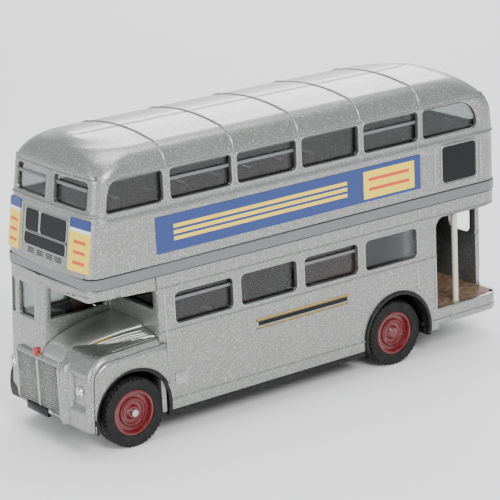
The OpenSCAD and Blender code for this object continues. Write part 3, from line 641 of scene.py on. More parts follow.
def upperRelief(sGrid, zGrid):
    bodySide = np.where((sGrid > sideEnds[1]) & (sGrid < sideEnds[0]), 0.0, 1.0)
    relief = notch(zGrid, upper["waistBead"], 0.42, 0.32) * bodySide + notch(zGrid, upper["gutter"], 0.14,
        -0.2)
    return relief + notch(zGrid, 55.15, 0.5, 0.4) * (1 - bodySide)


waist, gutter = upper["waistBead"], upper["gutter"]
t = np.linspace(0, np.pi / 2, 10)[1:]
upRows = np.concatenate([[bandTop, bandTop + 0.3], waist + np.array([-0.42, -0.28, -0.14, 0, 0.14, 0.28,
    0.42]), [54.65, 54.85, 55.0, 55.15, 55.3, 55.5, 55.65],
                         gutter + np.array([-0.14, -0.07, 0, 0.07, 0.14]), cantZ + upper["shoulder"]
                         * np.sin(t), crownZ + np.sqrt(upper["crown"] ** 2 - np.linspace(edgeY, 0,
                         7)[1:] ** 2)])
points, faces = casting(upPath, upLength, upHoles, upRows, upperPlace, upperRelief)
upperShell = makePiece("upperShell", points, faces, silverPaint, stands=("upper_body",), smoothAngle=35)
finishEdges(upperShell, upper["wall"], 0.1)
print("upper casting", len(points), "points")

# roof ribs: the cross section's outline at each pillar, from gutter to gutter
y = np.concatenate([[halfW] * 2, edgeY + upper["shoulder"] * np.cos(t), np.linspace(edgeY, 0, 12)[1:]])
z = np.concatenate([[cantZ - 0.2, cantZ], cantZ + upper["shoulder"] * np.sin(t),
    crownZ + np.sqrt(upper["crown"] ** 2 - np.linspace(edgeY, 0, 12)[1:] ** 2)])
y, z = np.concatenate([y, -y[:-1][::-1]]), np.concatenate([z, z[:-1][::-1]])
keep = np.concatenate([[True], np.hypot(np.diff(y), np.diff(z)) > 0.05])
y, z = y[keep], z[keep]
parts = []
for x in upper["ribs"]:
    path = np.stack([np.full_like(y, x), y, z], -1)
    tangent = np.gradient(path, axis=0)
    normal = np.cross(np.array([1.0, 0, 0]), tangent)
    normal *= np.sign((normal * (path - [x, 0, 45])).sum(1, keepdims=True))
    parts.append(ribbon(path, normal, 0.75, 0.28))
makePiece("roofRibs", *joinParts(parts), silverPaint)

lower = {
    "corner": 2.6, "rearCorner": 5.0, "wall": 1.2, "cabY": -1.5, "bulkX": 42.5, "ledge": 23.6,
    "windowZ": (26.4, 33.8),
    "windows": [(37.5, 21.3), (19.0, 2.8), (0.5, -15.7), (-18.0, -34.2)], "doorX": -40.4, "rearOpen": 9.6,
    "floorZ": 11.6, "openTop": 35.0,
    "archR": 10.6, "archZ": 8.5, "grooves": [(35.55, 0.14), (25.35, 0.14), (9.0, 0.14)],
}
skirtZ, lowTop = lowLo[2], lowHi[2]
lc, lr = lower["corner"], lower["rearCorner"]
cabY, bulkX = lower["cabY"], lower["bulkX"]
frontArch, rearArch, archR = frontAxle[0] + 0.6, rearAxle[0], lower["archR"]
archTop = lower["archZ"] + archR


def lowerFront(z):
    # the front leans back above its foot
    return noseX - 2.0 * np.clip((z - 9.0) / (lowTop - 9.0), 0, 1)


def lowerPlace(x0, y0, z):
    # columns keep their place in plan except that the cab's front follows the lean
    w = np.clip((x0 - bulkX) / (noseX - lc - bulkX), 0, 1) ** 1.3
    x = x0 + (lowerFront(z) - noseX) * w
    return np.stack([x - w ** 6 * y0 * y0 / frontBow, y0 + 0 * z, z], -1)


wingLine = {"flatEnd": 56.4, "reach": 5.0, "footZ": 17.4, "rise": 5.5}    # side view of the wing's top edge


def wingTop(x):
    # height of the nearside wing's edge: nearly flat, then a quarter of an ellipse down the front
    t = np.clip((x - wingLine["flatEnd"]) / wingLine["reach"], 0, 1)
    return np.where(x < wingLine["flatEnd"], lower["ledge"] - 0.05 * (x - bulkX), wingLine["footZ"]
        + wingLine["rise"] * np.sqrt(np.clip(1 - t * t, 0, None)))


startX = noseX - 0.9
wingEdge = 0.8                                   # rounding of the wing's outer edge
t = np.linspace(0, np.pi / 2, 24)
flatEnd, reach, footZ, rise = wingLine.values()
edgeX = np.concatenate([[bulkX - 1, bulkX, flatEnd], flatEnd + reach * np.sin(t), [61.9]])
edgeZ = np.concatenate([[23.65, 23.6, 22.905], footZ + rise * np.cos(t), [skirtZ]])
normX, normZ = -np.gradient(edgeZ), np.gradient(edgeX)
long = np.hypot(normX, normZ)
wallX, wallZ = edgeX - wingEdge * normX / long, edgeZ - wingEdge * normZ / long

lowPath, lowLength = planPath([(startX, halfW, 0), (rearX, halfW, lr), (rearX, -halfW, lr),
    (noseX, -halfW, lc), (noseX, cabY, 1.2), (bulkX, cabY, 0), (bulkX, halfW, 0)])
lowNear = lambda x: startX - x
lowRear = lambda y: startX - rearX - lr + lr * np.pi / 2 + (halfW - lr - y)
lowOff = lambda x: lowRear(-halfW + lr) + lr * np.pi / 2 + (x - rearX - lr)
lowFront = lambda y: lowOff(noseX - lc) + lc * np.pi / 2 + (y + halfW - lc)
lowInner = lambda x: lowFront(cabY - 1.2) + 1.2 * np.pi / 2 + (noseX - 1.2 - x)
lowBulk = lambda y: lowInner(bulkX) + (y - cabY)
w0, w1 = lower["windowZ"]
lowHoles = []
for a, b in lower["windows"]:
    lowHoles += [{"s": (lowNear(a), lowNear(b)), "z": (w0, w1), "r": (1.2,) * 4},
        {"s": (lowOff(b), lowOff(a)), "z": (w0, w1), "r": (1.2,) * 4}]
for x in (frontArch, rearArch):
    lowHoles.append({"s": (lowNear(min(x + archR, startX - 0.35)), lowNear(x - archR)),
        "z": (skirtZ, archTop), "r": (0, 0, archR - 0.01, archR - 0.01)})
    lowHoles.append({"s": (lowOff(x - archR), lowOff(x + archR)), "z": (skirtZ, archTop),
        "r": (0, 0, archR - 0.01, archR - 0.01)})
lowHoles += [
    {"s": (lowNear(lower["doorX"]), lowRear(lower["rearOpen"])), "z": (lower["floorZ"], lower["openTop"]),
    "r": (0.5, 0.5, 1.2, 2.8)},
    {"s": (lowRear(7.4), lowRear(-0.4)), "z": (25.0, 33.8), "r": (1.4,) * 4},
    {"s": (lowOff(44.7), lowOff(57.6)), "z": (26.4, 35.1), "r": (1.2, 1.2, 2.4, 1.2)},
    {"s": (lowFront(-halfW + lc) - 3.0, lowFront(-14.1)), "z": (27.2, 35.2), "r": (0.6, 0.6, 0.6, 0.6)},
    {"s": (lowFront(-12.3), lowFront(-5.2)), "z": (27.2, 35.2), "r": (0.6, 0.8, 2.6, 0.6)},
    {"s": (lowInner(59.7), lowInner(43.8)), "z": (27.8, 35.2), "r": (0.5, 0.5, 0.8, 0.5)},
    {"s": (lowBulk(0.4), lowBulk(16.4)), "z": (30.6, 34.8), "r": (0.8, 0.8, 0.8, 0.8)},
]


def lowerClamp(sGrid, xGrid, zGrid):
    # the skirt steps up under the platform and up to the cut foot of the front corner
    under = (sGrid > lowNear(lower["doorX"]) + 0.3) & (sGrid < lowRear(-2.4))
    zGrid = np.where(under, np.maximum(zGrid, 7.5), zGrid)
    foot = np.interp(sGrid, [lowOff(noseX - lc), lowFront(-15.4), lowFront(-13.2), lowFront(-12.2)],
        [11.2, 9.6, 8.6, skirtZ], left=skirtZ, right=skirtZ)
    return np.maximum(zGrid, foot)


def lowerDead(s, x, z):
    return s < lowNear(bulkX)                       # the wing is its own surface


def lowerRelief(sGrid, zGrid):
    outer = np.where((sGrid > lowNear(bulkX) + 0.5) & (sGrid < lowFront(-15)), 1.0, 0.0)
    return sum(notch(zGrid, c, h, -0.2) for c, h in lower["grooves"]) * outer


lowRows = np.concatenate([[skirtZ, 7.5, 11.6, lower["ledge"], lower["ledge"] - 0.8, lowTop - 0.2, lowTop]]
    + [c + np.array([-0.14, -0.07, 0, 0.07, 0.14]) for c in (35.55, 25.35, 9.0)])
points, faces = casting(lowPath, lowLength, lowHoles, lowRows, lowerPlace, lowerRelief, gap=2.2,
    clampZ=lowerClamp, dead=lowerDead, keys=[lowNear(bulkX), lowNear(bulkX) + 0.5]
    + [lowNear(x) for x in (60.9, 60.6, 60.2, 59.6, 58.8, 57.8)])
lowerShell = makePiece("lowerShell", points, faces, silverPaint, stands=("lower_body",), smoothAngle=35)
finishEdges(lowerShell, lower["wall"], 0.1)
print("lower casting", len(points), "points")

# the wing's side: between the arch's circle below and the wing's rounded edge above, matched by share of
# their lengths


def share(curve, count=60):
    run = np.concatenate([[0], np.cumsum(np.linalg.norm(np.diff(curve, axis=0), axis=1))])
    want = np.linspace(0, run[-1], count)
    return np.stack([np.interp(want, run, curve[:, k]) for k in (0, 1)], -1)


backX = bulkX - 1.6
a = np.linspace(np.arccos((backX - frontArch) / archR), 0, 60)
inner = np.stack([frontArch + archR * np.cos(a), lower["archZ"] + archR * np.sin(a)], -1)
inner = share(np.concatenate([inner, [[frontArch + archR, skirtZ]]]))
outer = share(np.concatenate([[[backX, wallZ[1]]], np.stack([wallX, wallZ], -1)[1:]]))
surface = inner[:, None] + (outer - inner)[:, None] * np.linspace(0, 1, 6)[None, :, None]
surface = np.stack([surface[..., 0], np.full(surface.shape[:2], halfW - 0.02), surface[..., 1]], -1)
wingSide = makePiece("wingSide", surface.reshape(-1, 3), gridFaces(*surface.shape[:2]).reshape(-1, 4),
    silverPaint)
finishEdges(wingSide, 1.0)

# canopy rail that carries the upper deck over the bonnet
canPath, canLength = planPath([(noseX, cabY - 1.0, 0), (noseX, halfW, lc), (bulkX - 0.4, halfW, 0)])
canRows = np.array([35.3, 36.0, 36.6, 37.3, 38.0, lowTop])
bottom = lambda sGrid: np.interp(sGrid, [0, canLength[-1] * 0.4, canLength[-1]], [36.5, 36.5, 35.4])
sGrid, zGrid = np.meshgrid(fillLines(canLength, 1.5), canRows, indexing="ij")
zGrid = np.maximum(zGrid, bottom(sGrid))
surface = lowerPlace(np.interp(sGrid, canLength, canPath[:, 0]), np.interp(sGrid, canLength, canPath[:, 1]),
    zGrid)
canopy = makePiece("canopyRail", surface.reshape(-1, 3), gridFaces(*sGrid.shape).reshape(-1, 4), silverPaint)
finishEdges(canopy, 1.2, 0.12)
makePiece("canopyCeiling", *slab((51.2, 8.0, 36.9), (1, 0, 0), (0, -1, 0), 17.0, 18.4, 0.9, 1.0), silverPaint)

bonnet = {
    # height of the bonnet's top along x, then where the shoulder and the crease under it run
    "topX": [42.5, 44.0, 48.0, 51.0, 54.0, 56.5, 59.4, 60.7, 61.3, 61.6], "topZ": [26.5, 26.35, 25.9, 25.35,
    24.7, 24.0, 22.75, 21.75, 20.9, 19.6],
    "shoulder": (11.8, 7.2), "rearCrease": (16.9, 24.6), "frontCrease": (8.8, 17.2),
}


def bonnetSurface(nu=56):
    # along: stations closer together towards the grille; across: a smooth line over the crown, the shoulder,
    # the flank
    # and the crease above the wing, each of them sliding inwards with f, the share of the way forward
    f = 1 - (1 - np.linspace(0, 1, nu)) ** 1.6
    x = bulkX + 0.1 + (noseX - 0.5 - bulkX) * f
    topZ = np.interp(x, bonnet["topX"], bonnet["topZ"])
    topZ[1:-1] = (topZ[:-2] + 2 * topZ[1:-1] + topZ[2:]) / 4
    edge = bonnet["shoulder"][0] + (bonnet["shoulder"][1] - bonnet["shoulder"][0]) * f
    crY = bonnet["rearCrease"][0] + (bonnet["frontCrease"][0] - bonnet["rearCrease"][0]) * f ** 0.9
    crZ = np.minimum(bonnet["rearCrease"][1] - 4.5 * f ** 2, topZ - 1.8)
    low = np.minimum(wingTop(x) - 0.4, crZ - 0.7)
    ys = np.stack([np.full_like(f, cabY - 0.1), cabY + 0.35 * (edge - cabY), cabY + 0.75 * (edge - cabY),
        edge - 0.7, edge + 0.1, edge + 0.55, 0.5 * (edge + crY) + 0.35, crY - 0.3, crY + 0.12, crY + 0.25,
        crY + 0.3], 1)
    zs = np.stack([topZ, topZ + 0.35, topZ + 0.25, topZ - 0.1, topZ - 0.5, topZ - 0.9,
        0.5 * (topZ - 0.8 + crZ), crZ + 0.22, crZ - 0.15, 0.5 * (crZ + low), low], 1)
    knots = np.arange(ys.shape[1])
    v = np.linspace(0, knots[-1], 51)
    k = np.clip(v.astype(int), 0, len(knots) - 2)
    s = v - k

    def smooth(c):
        # Catmull-Rom through the knots
        pad = np.concatenate([2 * c[:, :1] - c[:, 1:2], c, 2 * c[:, -1:] - c[:, -2:-1]], 1)
        p0, p1, p2, p3 = pad[:, k], pad[:, k + 1], pad[:, k + 2], pad[:, k + 3]
        return 0.5 * (2 * p1 + (p2 - p0) * s + (2 * p0 - 5 * p1 + 4 * p2 - p3) * s ** 2
            + (3 * p1 - p0 - 3 * p2 + p3) * s ** 3)

    yGrid, zCurve = smooth(ys), smooth(zs)
    xGrid = np.tile(x[:, None], (1, yGrid.shape[1]))
    return np.stack([xGrid, yGrid, zCurve], -1)


surface = bonnetSurface()
# the bonnet takes the lighter silver: painted highlight
bonnetPiece = makePiece("bonnet", surface.reshape(-1, 3), gridFaces(*surface.shape[:2]).reshape(-1, 4),
    highlightSilverPaint, smoothAngle=60)
finishEdges(bonnetPiece, 0.8)


def onBonnet(v, a, b, width, height):
    # a raised line on the bonnet along one of its lengthwise curves, from share a to share b
    k = int(v * (surface.shape[1] - 1))
    du, dv = np.gradient(surface, axis=0), np.gradient(surface, axis=1)
    n = np.cross(du, dv)[:, k]
    n *= np.sign(n[:, 2:3] + 1e-9) / np.linalg.norm(n, axis=1, keepdims=True)
    cut = slice(int(a * len(surface)), int(b * len(surface)))
    return ribbon(surface[cut, k], n[cut], width, height, sink=0.2)


makePiece("bonnetRibs", *joinParts([onBonnet(v, 0.04, 0.9, 0.42, 0.26) for v in (0.56, 0.62, 0.68)]),
    highlightSilverPaint)
bonnetMark = onBonnet(0.5, 0.28, 0.52, 0.9, 0.05)


def wingSurface(nv=64):
    # along: the wing's edge line from the bulkhead over the front down to the foot; across: from the bonnet
    # out to the side, rounded at its edge
    t = np.linspace(0, np.pi / 2, 26)
    x = np.concatenate([np.linspace(bulkX, flatEnd, 22)[:-1], flatEnd + reach * np.sin(t), 61.4 + 0.5
        * np.linspace(0, 1, 18)[1:]])
    z = np.concatenate([wingTop(np.linspace(bulkX, flatEnd, 22)[:-1]), footZ + rise * np.cos(t),
        np.linspace(footZ, skirtZ + 0.2, 18)[1:]])
    path = np.stack([x, 0 * x, z], -1)
    tan = np.gradient(path, axis=0)
    tan /= np.linalg.norm(tan, axis=1, keepdims=True)
    out = np.stack([-tan[:, 2], 0 * x, tan[:, 0]], -1)
    r = wingEdge
    e = np.linspace(0, np.pi / 2, 7)
    y = np.concatenate([np.linspace(6.0, halfW - r, nv), halfW - r + r * np.sin(e[1:])])
    drop = np.concatenate([np.zeros(nv), r * (1 - np.cos(e[1:]))])
    vGrid, zPath = y[None, :], z[:, None]
    lift = -drop[None, :] + 0 * zPath
    front = np.clip((x[:, None] - 60.2) / 0.8, 0, 1)
    # upright beside the grille
    lift = lift + front * 0.8 * np.exp(-((vGrid - 8.7) / 0.95) ** 4)
    inside = 1 / (1 + np.exp(-(np.minimum(vGrid - 10.6, 16.9 - vGrid)) / 0.12)) / (1
        + np.exp(-(np.minimum(zPath - 11.2, 18.8 - zPath)) / 0.15))
    # lamp panel sunk in the front
    lift = lift - front * 0.9 * inside
    ledge = np.clip((55.5 - x[:, None]) / 2, 0, 1) * np.clip((vGrid - 12.6) / 0.6, 0,
        1) * np.clip((17.3 - vGrid) / 0.4, 0, 1)
    # three low ribs on the ledge
    lift = lift + 0.24 * ledge * np.cos((vGrid - 12.8) * 2 * np.pi / 1.25)
    return path[:, None] + out[:, None] * lift[..., None] + np.array([0, 1.0, 0]) * vGrid[..., None]


surface = wingSurface()
wing = makePiece("nearsideWing", surface.reshape(-1, 3), gridFaces(*surface.shape[:2]).reshape(-1, 4)[:,
    ::-1], silverPaint, smoothAngle=60)
finishEdges(wing, 0.7)

radiator = {"y": (-12.6, 6.6), "z": (6.7, 20.1), "front": 62.0, "rows": 21}
ry0, ry1 = radiator["y"]
rz0, rz1 = radiator["z"]
midY, midZ = (ry0 + ry1) / 2, (rz0 + rz1) / 2
makePiece("radiatorCowl", *slab((radiator["front"] - 0.2, midY, midZ), (0, 1, 0), (0, 0, 1), ry1 - ry0,
    rz1 - rz0, 0.2, 1.3, edge=0.5, sink=2.6), silverPaint)
# the core behind the bars is painted shade
makePiece("radiatorCore", *slab((radiator["front"], midY, midZ), (0, 1, 0), (0, 0, 1), ry1 - ry0 - 1.4,
    rz1 - rz0 - 1.4, 0.04, 0.6, edge=0.02, sink=0.3), grilleShadeBacking, smoothAngle=12)
frameParts = [ribbon(line((62.0, y, 7.2), (62.0, y, 19.4 - 0.5 * (y < -12))), np.tile([1.0, 0, 0], (12, 1)),
    0.75, 0.42) for y in (ry0 + 0.6, -3.0, ry1 - 0.6)]
frameParts.append(ribbon(line((62.0, ry0 + 0.8, 19.3), (62.0, ry1 - 0.8, 19.3), 24),
    np.tile([1.0, 0, 0], (24, 1)), 0.6, 0.3))
frameParts.append(ribbon(line((62.0, ry0 + 0.8, 7.2), (62.0, ry1 - 0.8, 7.2), 24),
    np.tile([1.0, 0, 0], (24, 1)), 0.6, 0.3))
makePiece("radiatorFrame", *joinParts(frameParts), highlightSilverPaint)
grilleBars = [ribbon(line((62.0, y, 7.6), (62.0, y, 19.0), 3), np.tile([1.0, 0, 0], (3, 1)), 0.34, 0.3,
    across=4) for y in np.linspace(ry0 + 1.3, -3.7, 15).tolist() + np.linspace(-2.3, ry1 - 1.3, 14).tolist()]
grilleBars += [ribbon(line((62.0, a, z), (62.0, b, z), 3), np.tile([1.0, 0, 0], (3, 1)), 0.26, 0.2, across=4)
    for z in np.linspace(7.9, 18.8, radiator["rows"]) for a, b in ((ry0 + 1.0, -3.3), (-2.7, ry1 - 1.0))]
makePiece("radiatorMesh", *joinParts(grilleBars), silverPaint)
makePiece("radiatorBadge", *slab((61.6, -3.6, 20.2), (0, 1, 0), (0, 0, 1), 1.5, 2.2, 0.75, 0.7, edge=0.25,
    sink=0.6), redInk)
makePiece("frontPlate", *slab((62.15, -3.9, 6.6), (0, 1, 0), (0, 0, 1), 9.2, 1.9, 0.3, 0.3, sink=0.5),
    blackGloss)
makePiece("frontPlateLamp", *slab((62.1, 1.9, 7.4), (0, 1, 0), (0, 0, 1), 1.6, 1.0, 0.4, 0.3, sink=0.4),
    highlightSilverPaint)
print("front end done")

# headlamps: a dished bowl and a domed lens turned about the driving axis
lamps = {"nearside": (61.5, 13.9, 15.2), "offside": (61.35, -15.0, 15.2)}
bowl = [(0.0, 0.42), (0.4, 0.4), (0.75, 0.28), (0.98, 0.08), (1.04, 0.26), (1.16, 0.34), (1.3, 0.26),
    (1.38, 0.0), (1.38, -0.5)]
makePiece("headlamps", *joinParts([turned(bowl, spot, (1, 0, 0), 40) for spot in lamps.values()]), chrome,
    smoothAngle=50)

parts = []
for sgn in (1, -1):
    n = np.array([0, float(sgn), 0])
    y = sgn * halfW
    stretches = [((-40.55, y, 42.9), (-40.55, y, 53.1)), ((-55.4, y, 41.9), (-55.4, y, 53.1)),
        ((40.3, y, 14.2), (40.3, y, 37.4)), ((-34.2, y, 17.8), (-34.2, y, 24.7)),
        ((-40.0, y, 12.2), (-40.0, y, 25.2)), ((21.4, y, 7.2), (21.4, y, 8.7))]
    stretches += [((x, y, 35.9), (x, y, 38.3)) for x in (20.15, 1.65, -16.85, -35.2, -39.6)]
    for a, b in stretches:
        parts.append(ribbon(line(a, b, 10), np.tile(n, (10, 1)), 0.55, 0.26))
    parts.append(ribbon(line((-34.2, y, 17.6), (-40.0, y, 17.6), 8), np.tile(n, (8, 1)), 0.3, 0.12))
    parts.append(slab((36.9, y, 13.5), (-sgn, 0, 0), (0, 0, 1), 3.4, 3.0, 0.18, 0.3))
    parts.append(slab((36.9, y + 0.15 * sgn, 14.3), (-sgn, 0, 0), (0, 0, 1), 0.8, 0.8, 0.25, 0.38))
    parts.append(slab((35.6, y, 24.0), (-sgn, 0, 0), (0, 0, 1), 0.9, 0.9, 0.3, 0.4))
for y in (-10.9, 9.0):                                   # beads beside the front indicator
    parts.append(ribbon(line((59.75 - y * y / frontBow, y, 42.4), (58.15 - y * y / frontBow, y, 53.6), 16),
        np.tile([1.0, 0, 0.15], (16, 1)), 0.5, 0.28))
parts.append(ribbon(line((60.35, -3.6, 21.4), (60.2, -3.6, 26.2), 10), np.tile([1.0, 0, 0.07], (10, 1)), 0.5,
    0.2))
makePiece("bodyBeads", *joinParts(parts), highlightSilverPaint)

# the band between the decks and the plate it belongs to: rows run from the middle of the underside out to the
# band's
# face and back over the top to the middle
band = {"proud": 0.3, "sink": 1.0, "soft": 0.15}
fine = np.linspace(0, len(upPath) - 1, 5 * len(upPath))[:-1]
loop = upperPlace(upPath[:, 0], upPath[:, 1], np.full(len(upPath), bandTop))
loop = np.stack([np.interp(fine, np.arange(len(loop)), loop[:, k]) for k in range(3)], -1)
along = np.roll(loop, -1, 0) - np.roll(loop, 1, 0)
out = np.stack([along[:, 1], -along[:, 0]], -1)
out /= np.linalg.norm(out, axis=1, keepdims=True) + 1e-9
za, zb = lowTop, bandTop
rows = [(-band["sink"], za + 0.02), (band["proud"] - band["soft"], za + 0.02),
    (band["proud"], za + band["soft"]), (band["proud"], (za + zb) / 2), (band["proud"], zb - band["soft"]),
    (band["proud"] - band["soft"], zb - 0.02), (-band["sink"], zb - 0.02)]
mid = np.stack([np.clip(loop[:, 0], -44, 44), 0 * loop[:, 0]], -1)
surface = [np.concatenate([mid, np.full((len(mid), 1), za + 0.02)], 1)]
surface += [np.concatenate([loop[:, :2] + d * out, np.full((len(out), 1), zz)], 1) for d, zz in rows]
surface += [np.concatenate([mid, np.full((len(mid), 1), zb - 0.02)], 1)]
surface = np.stack(surface, 1)
makePiece("deckBand", surface.reshape(-1, 3), gridFaces(*surface.shape[:2], closeU=True).reshape(-1, 4),
    bandPaint, stands=("deck_band",), smoothAngle=30)

# black lines above and below the band between the decks: painted shadow along the joints
dark = []
for z, place, path in ((bandTop + 0.12, upperPlace, upPath), (lowTop - 0.1, lowerPlace, lowPath[:-2])):
    loop = place(path[:, 0], path[:, 1], np.full(len(path), z))
    fine = np.linspace(0, len(loop) - 1, 6 * len(loop))
    loop = np.stack([np.interp(fine, np.arange(len(loop)), loop[:, k]) for k in range(3)], -1)
    along = np.gradient(loop, axis=0)
    out = np.stack([along[:, 1], -along[:, 0], 0 * fine], -1)
    out /= np.linalg.norm(out, axis=1, keepdims=True) + 1e-9
    dark.append(ribbon(loop, out, 0.26, 0.05))
makePiece("bandShadowLines", *joinParts(dark), blackBase)

blindX, blindZ = -48.35, 47.75                    # middle of the panel over the platform
frameLines = [
    frameRing((rearX, 4.0, 24.6), (0, -1, 0), (0, 0, 1), 10.4, 20.4, 1.8, 0.6, 0.4),
    frameRing((blindX, halfW, blindZ), (-1, 0, 0), (0, 0, 1), 11.5, 9.7, 1.0, 0.4, 0.3),
    frameRing((blindX, -halfW, blindZ), (1, 0, 0), (0, 0, 1), 11.5, 9.7, 1.0, 0.4, 0.3),
]
makePiece("panelFrames", *joinParts(frameLines), highlightSilverPaint)

# window rims: a fine raised line round each upper and lower side window
rims = []
for sgn in (1, -1):
    for pair, zLow, zHigh in [(p, sill, head) for p in upper["sideWindows"]] + [(p, w0, w1)
            for p in lower["windows"]]:
        rims.append(frameRing(((pair[0] + pair[1]) / 2, sgn * (halfW - 0.02), (zLow + zHigh) / 2),
            (-sgn, 0, 0), (0, 0, 1), pair[0] - pair[1] + 0.3, zHigh - zLow + 0.3, 1.3, 0.3, 0.1))
makePiece("windowRims", *joinParts(rims), highlightSilverPaint)

# opening lights: a grey bar across some windows, on the glass
bars = []
for sgn in (1, -1):
    for k, (a, b) in enumerate(upper["sideWindows"]):
        if k in (0, 1, 3):
            bars.append(slab(((a + b) / 2, sgn * 17.0, 59.9), (-sgn, 0, 0), (0, 0, 1), a - b - 0.4, 0.75, 0.3,
                0.15, sink=0.05))
    for k in (0, 2):
        a, b = lower["windows"][k]
        bars.append(slab(((a + b) / 2, sgn * 17.0, 32.0), (-sgn, 0, 0), (0, 0, 1), a - b - 0.4, 0.75, 0.3,
            0.15, sink=0.05))
for y in (-8.1, 8.1):
    bars.append(slab((56.25 - y * y / frontBow, y, 60.4), (0, 1, 0), (-0.15, 0, 1), 12.6, 0.8, 0.35, 0.15,
        sink=0.05))
makePiece("openingLights", *joinParts(bars), bandPaint)

boards = {"sideX": (-35.8, 41.6), "sideZ": (43.5, 52.0), "insetX": (-33.8, -18.0), "insetZ": (44.2, 50.9),
    "frontZ": (42.3, 54.1)}
far = 1000.0                                     # a patch with this bound has no edge on that side
x0, x1 = boards["sideX"]
z0, z1 = boards["sideZ"]
i0, i1 = boards["insetX"]
j0, j1 = boards["insetZ"]
sidePatches = [(yellowInk, (-13.0, -far, zz), (36.8, far, zz + 0.85)) for zz in (45.9, 47.35, 48.8)]
sidePatches += [(yellowInk, (i0, -far, j0), (i1, far, j1))]
sidePatches += [(orangeInk, (i0 + 1.6, -far, zz), (i1 - 1.6, far, zz + 0.8)) for zz in (46.0, 48.4)]
sidePrint = printedMaterial("sideBoardPrint", blueInk, sidePatches)
frontPrint = printedMaterial("frontBoardPrint", yellowInk, [(blueInk, (-far, -far, 51.9), (far, far, far)),
    (creamInk, (-far, -far, 51.1), (far, far, 51.9))]
                             + [(orangeInk, (-far, a, zz), (far, b, zz + 0.75)) for zz in (44.0, 46.3, 48.6)
                             for a, b in ((-16.3, -12.9), (11.0, 15.4))])
for sgn, label in ((1, "Nearside"), (-1, "Offside")):
    makePiece("board" + label, *slab(((x0 + x1) / 2, sgn * halfW, (z0 + z1) / 2), (-sgn, 0, 0), (0, 0, 1),
        x1 - x0, z1 - z0, 0.12, 0.25, edge=0.04), sidePrint, smoothAngle=12)
lean = np.array([-upper["lean"] / (domeZ - bandTop), 0, 1.0])
frontX = lambda y, z: upFrontX - upper["lean"] * (z - bandTop) / (domeZ - bandTop) - y * y / frontBow
for y, wide, label in ((-14.4, 5.2, "A"), (12.9, 7.2, "B")):
    z = (boards["frontZ"][0] + boards["frontZ"][1]) / 2
    turnY = np.array([-2 * y / frontBow, 1.0, 0])
    makePiece("frontBoard" + label, *slab((frontX(y, z) + 0.02, y, z), turnY, lean, wide, 11.8, 0.12, 0.2,
        edge=0.04, sink=0.4), frontPrint, smoothAngle=12)
blinds = [(-6.15, 50.4, 5.7, 5.0), (2.9, 50.4, 11.0, 5.0), (-0.3, 46.15, 17.4, 2.7)]
parts, rings = [], []
for y, z, wide, tall in blinds:
    parts.append(slab((frontX(y, z), y, z), (0, 1, 0), lean, wide, tall, 0.16, 0.8, edge=0.08, sink=0.4))
    rings.append(frameRing((frontX(y, z) + 0.05, y, z), (0, 1, 0), lean, wide + 0.16, tall + 0.16, 0.8, 0.24,
        0.2))
parts.append(slab((blindX, halfW, blindZ), (-1, 0, 0), (0, 0, 1), 10.6, 8.9, 0.15, 0.8, edge=0.08))
for y in (-6.2, -2.3, 1.7, 5.2):
    for k in range(3):
        parts.append(slab((frontX(y, 43.2 + 0.5 * k), y, 43.1 + 0.45 * k), (0, 1, 0), lean, 2.7, 0.22, 0.1,
            0.08, edge=0.03, sink=0.3))
parts.append(slab((rearX, 0.0, 50.0), (0, -1, 0), (0, 0, 1), 15.0, 4.4, 0.15, 0.4, edge=0.08))
parts.append(slab((rearX, -8.4, 15.2), (0, -1, 0), (0, 0, 1), 9.4, 2.2, 0.3, 0.3, edge=0.08))
makePiece("blankBlinds", *joinParts(parts), blackGloss, smoothAngle=12)
rings.append(frameRing((rearX - 0.02, 0.0, 50.0), (0, -1, 0), (0, 0, 1), 15.5, 4.9, 0.5, 0.35, 0.25))
makePiece("blindFrames", *joinParts(rings), highlightSilverPaint)

pin = {"x": (-12.4, 15.1), "z": (20.0, 21.9)}
parts, backs = [], []
for sgn in (1, -1):
    for z, h in ((pin["z"][0], 0.28), (pin["z"][1], 0.5)):
        parts.append(slab((sum(pin["x"]) / 2, sgn * (halfW + 0.05), z), (-sgn, 0, 0), (0, 0, 1),
            pin["x"][1] - pin["x"][0], h, 0.05, 0.1, edge=0.02))
        backs.append(slab((sum(pin["x"]) / 2 + 0.12, sgn * (halfW + 0.01), z - 0.14), (-sgn, 0, 0), (0, 0, 1),
            pin["x"][1] - pin["x"][0], h, 0.05, 0.1, edge=0.02))
parts.append(bonnetMark)
for sgn in (1, -1):
    backs.append(slab((sum(pin["x"]) / 2, sgn * (halfW + 0.02), sum(pin["z"]) / 2), (-sgn, 0, 0), (0, 0, 1),
        pin["x"][1] - pin["x"][0] - 1.0, 0.95, 0.05, 0.1, edge=0.02))
makePiece("goldLines", *joinParts(parts), goldInk)
makePiece("goldLineShadows", *joinParts(backs), blackGloss)
lampParts = [turned([(0.9, -0.3), (0.9, 0.2), (0.6, 0.42), (0.0, 0.5)], (rearX, y, z), (-1, 0, 0), 28) for y,
    z in ((-14.0, 14.6), (-14.0, 18.0), (8.6, 36.6))]
makePiece("rearLamps", *joinParts(lampParts), redInk)
print("trim and boards done")

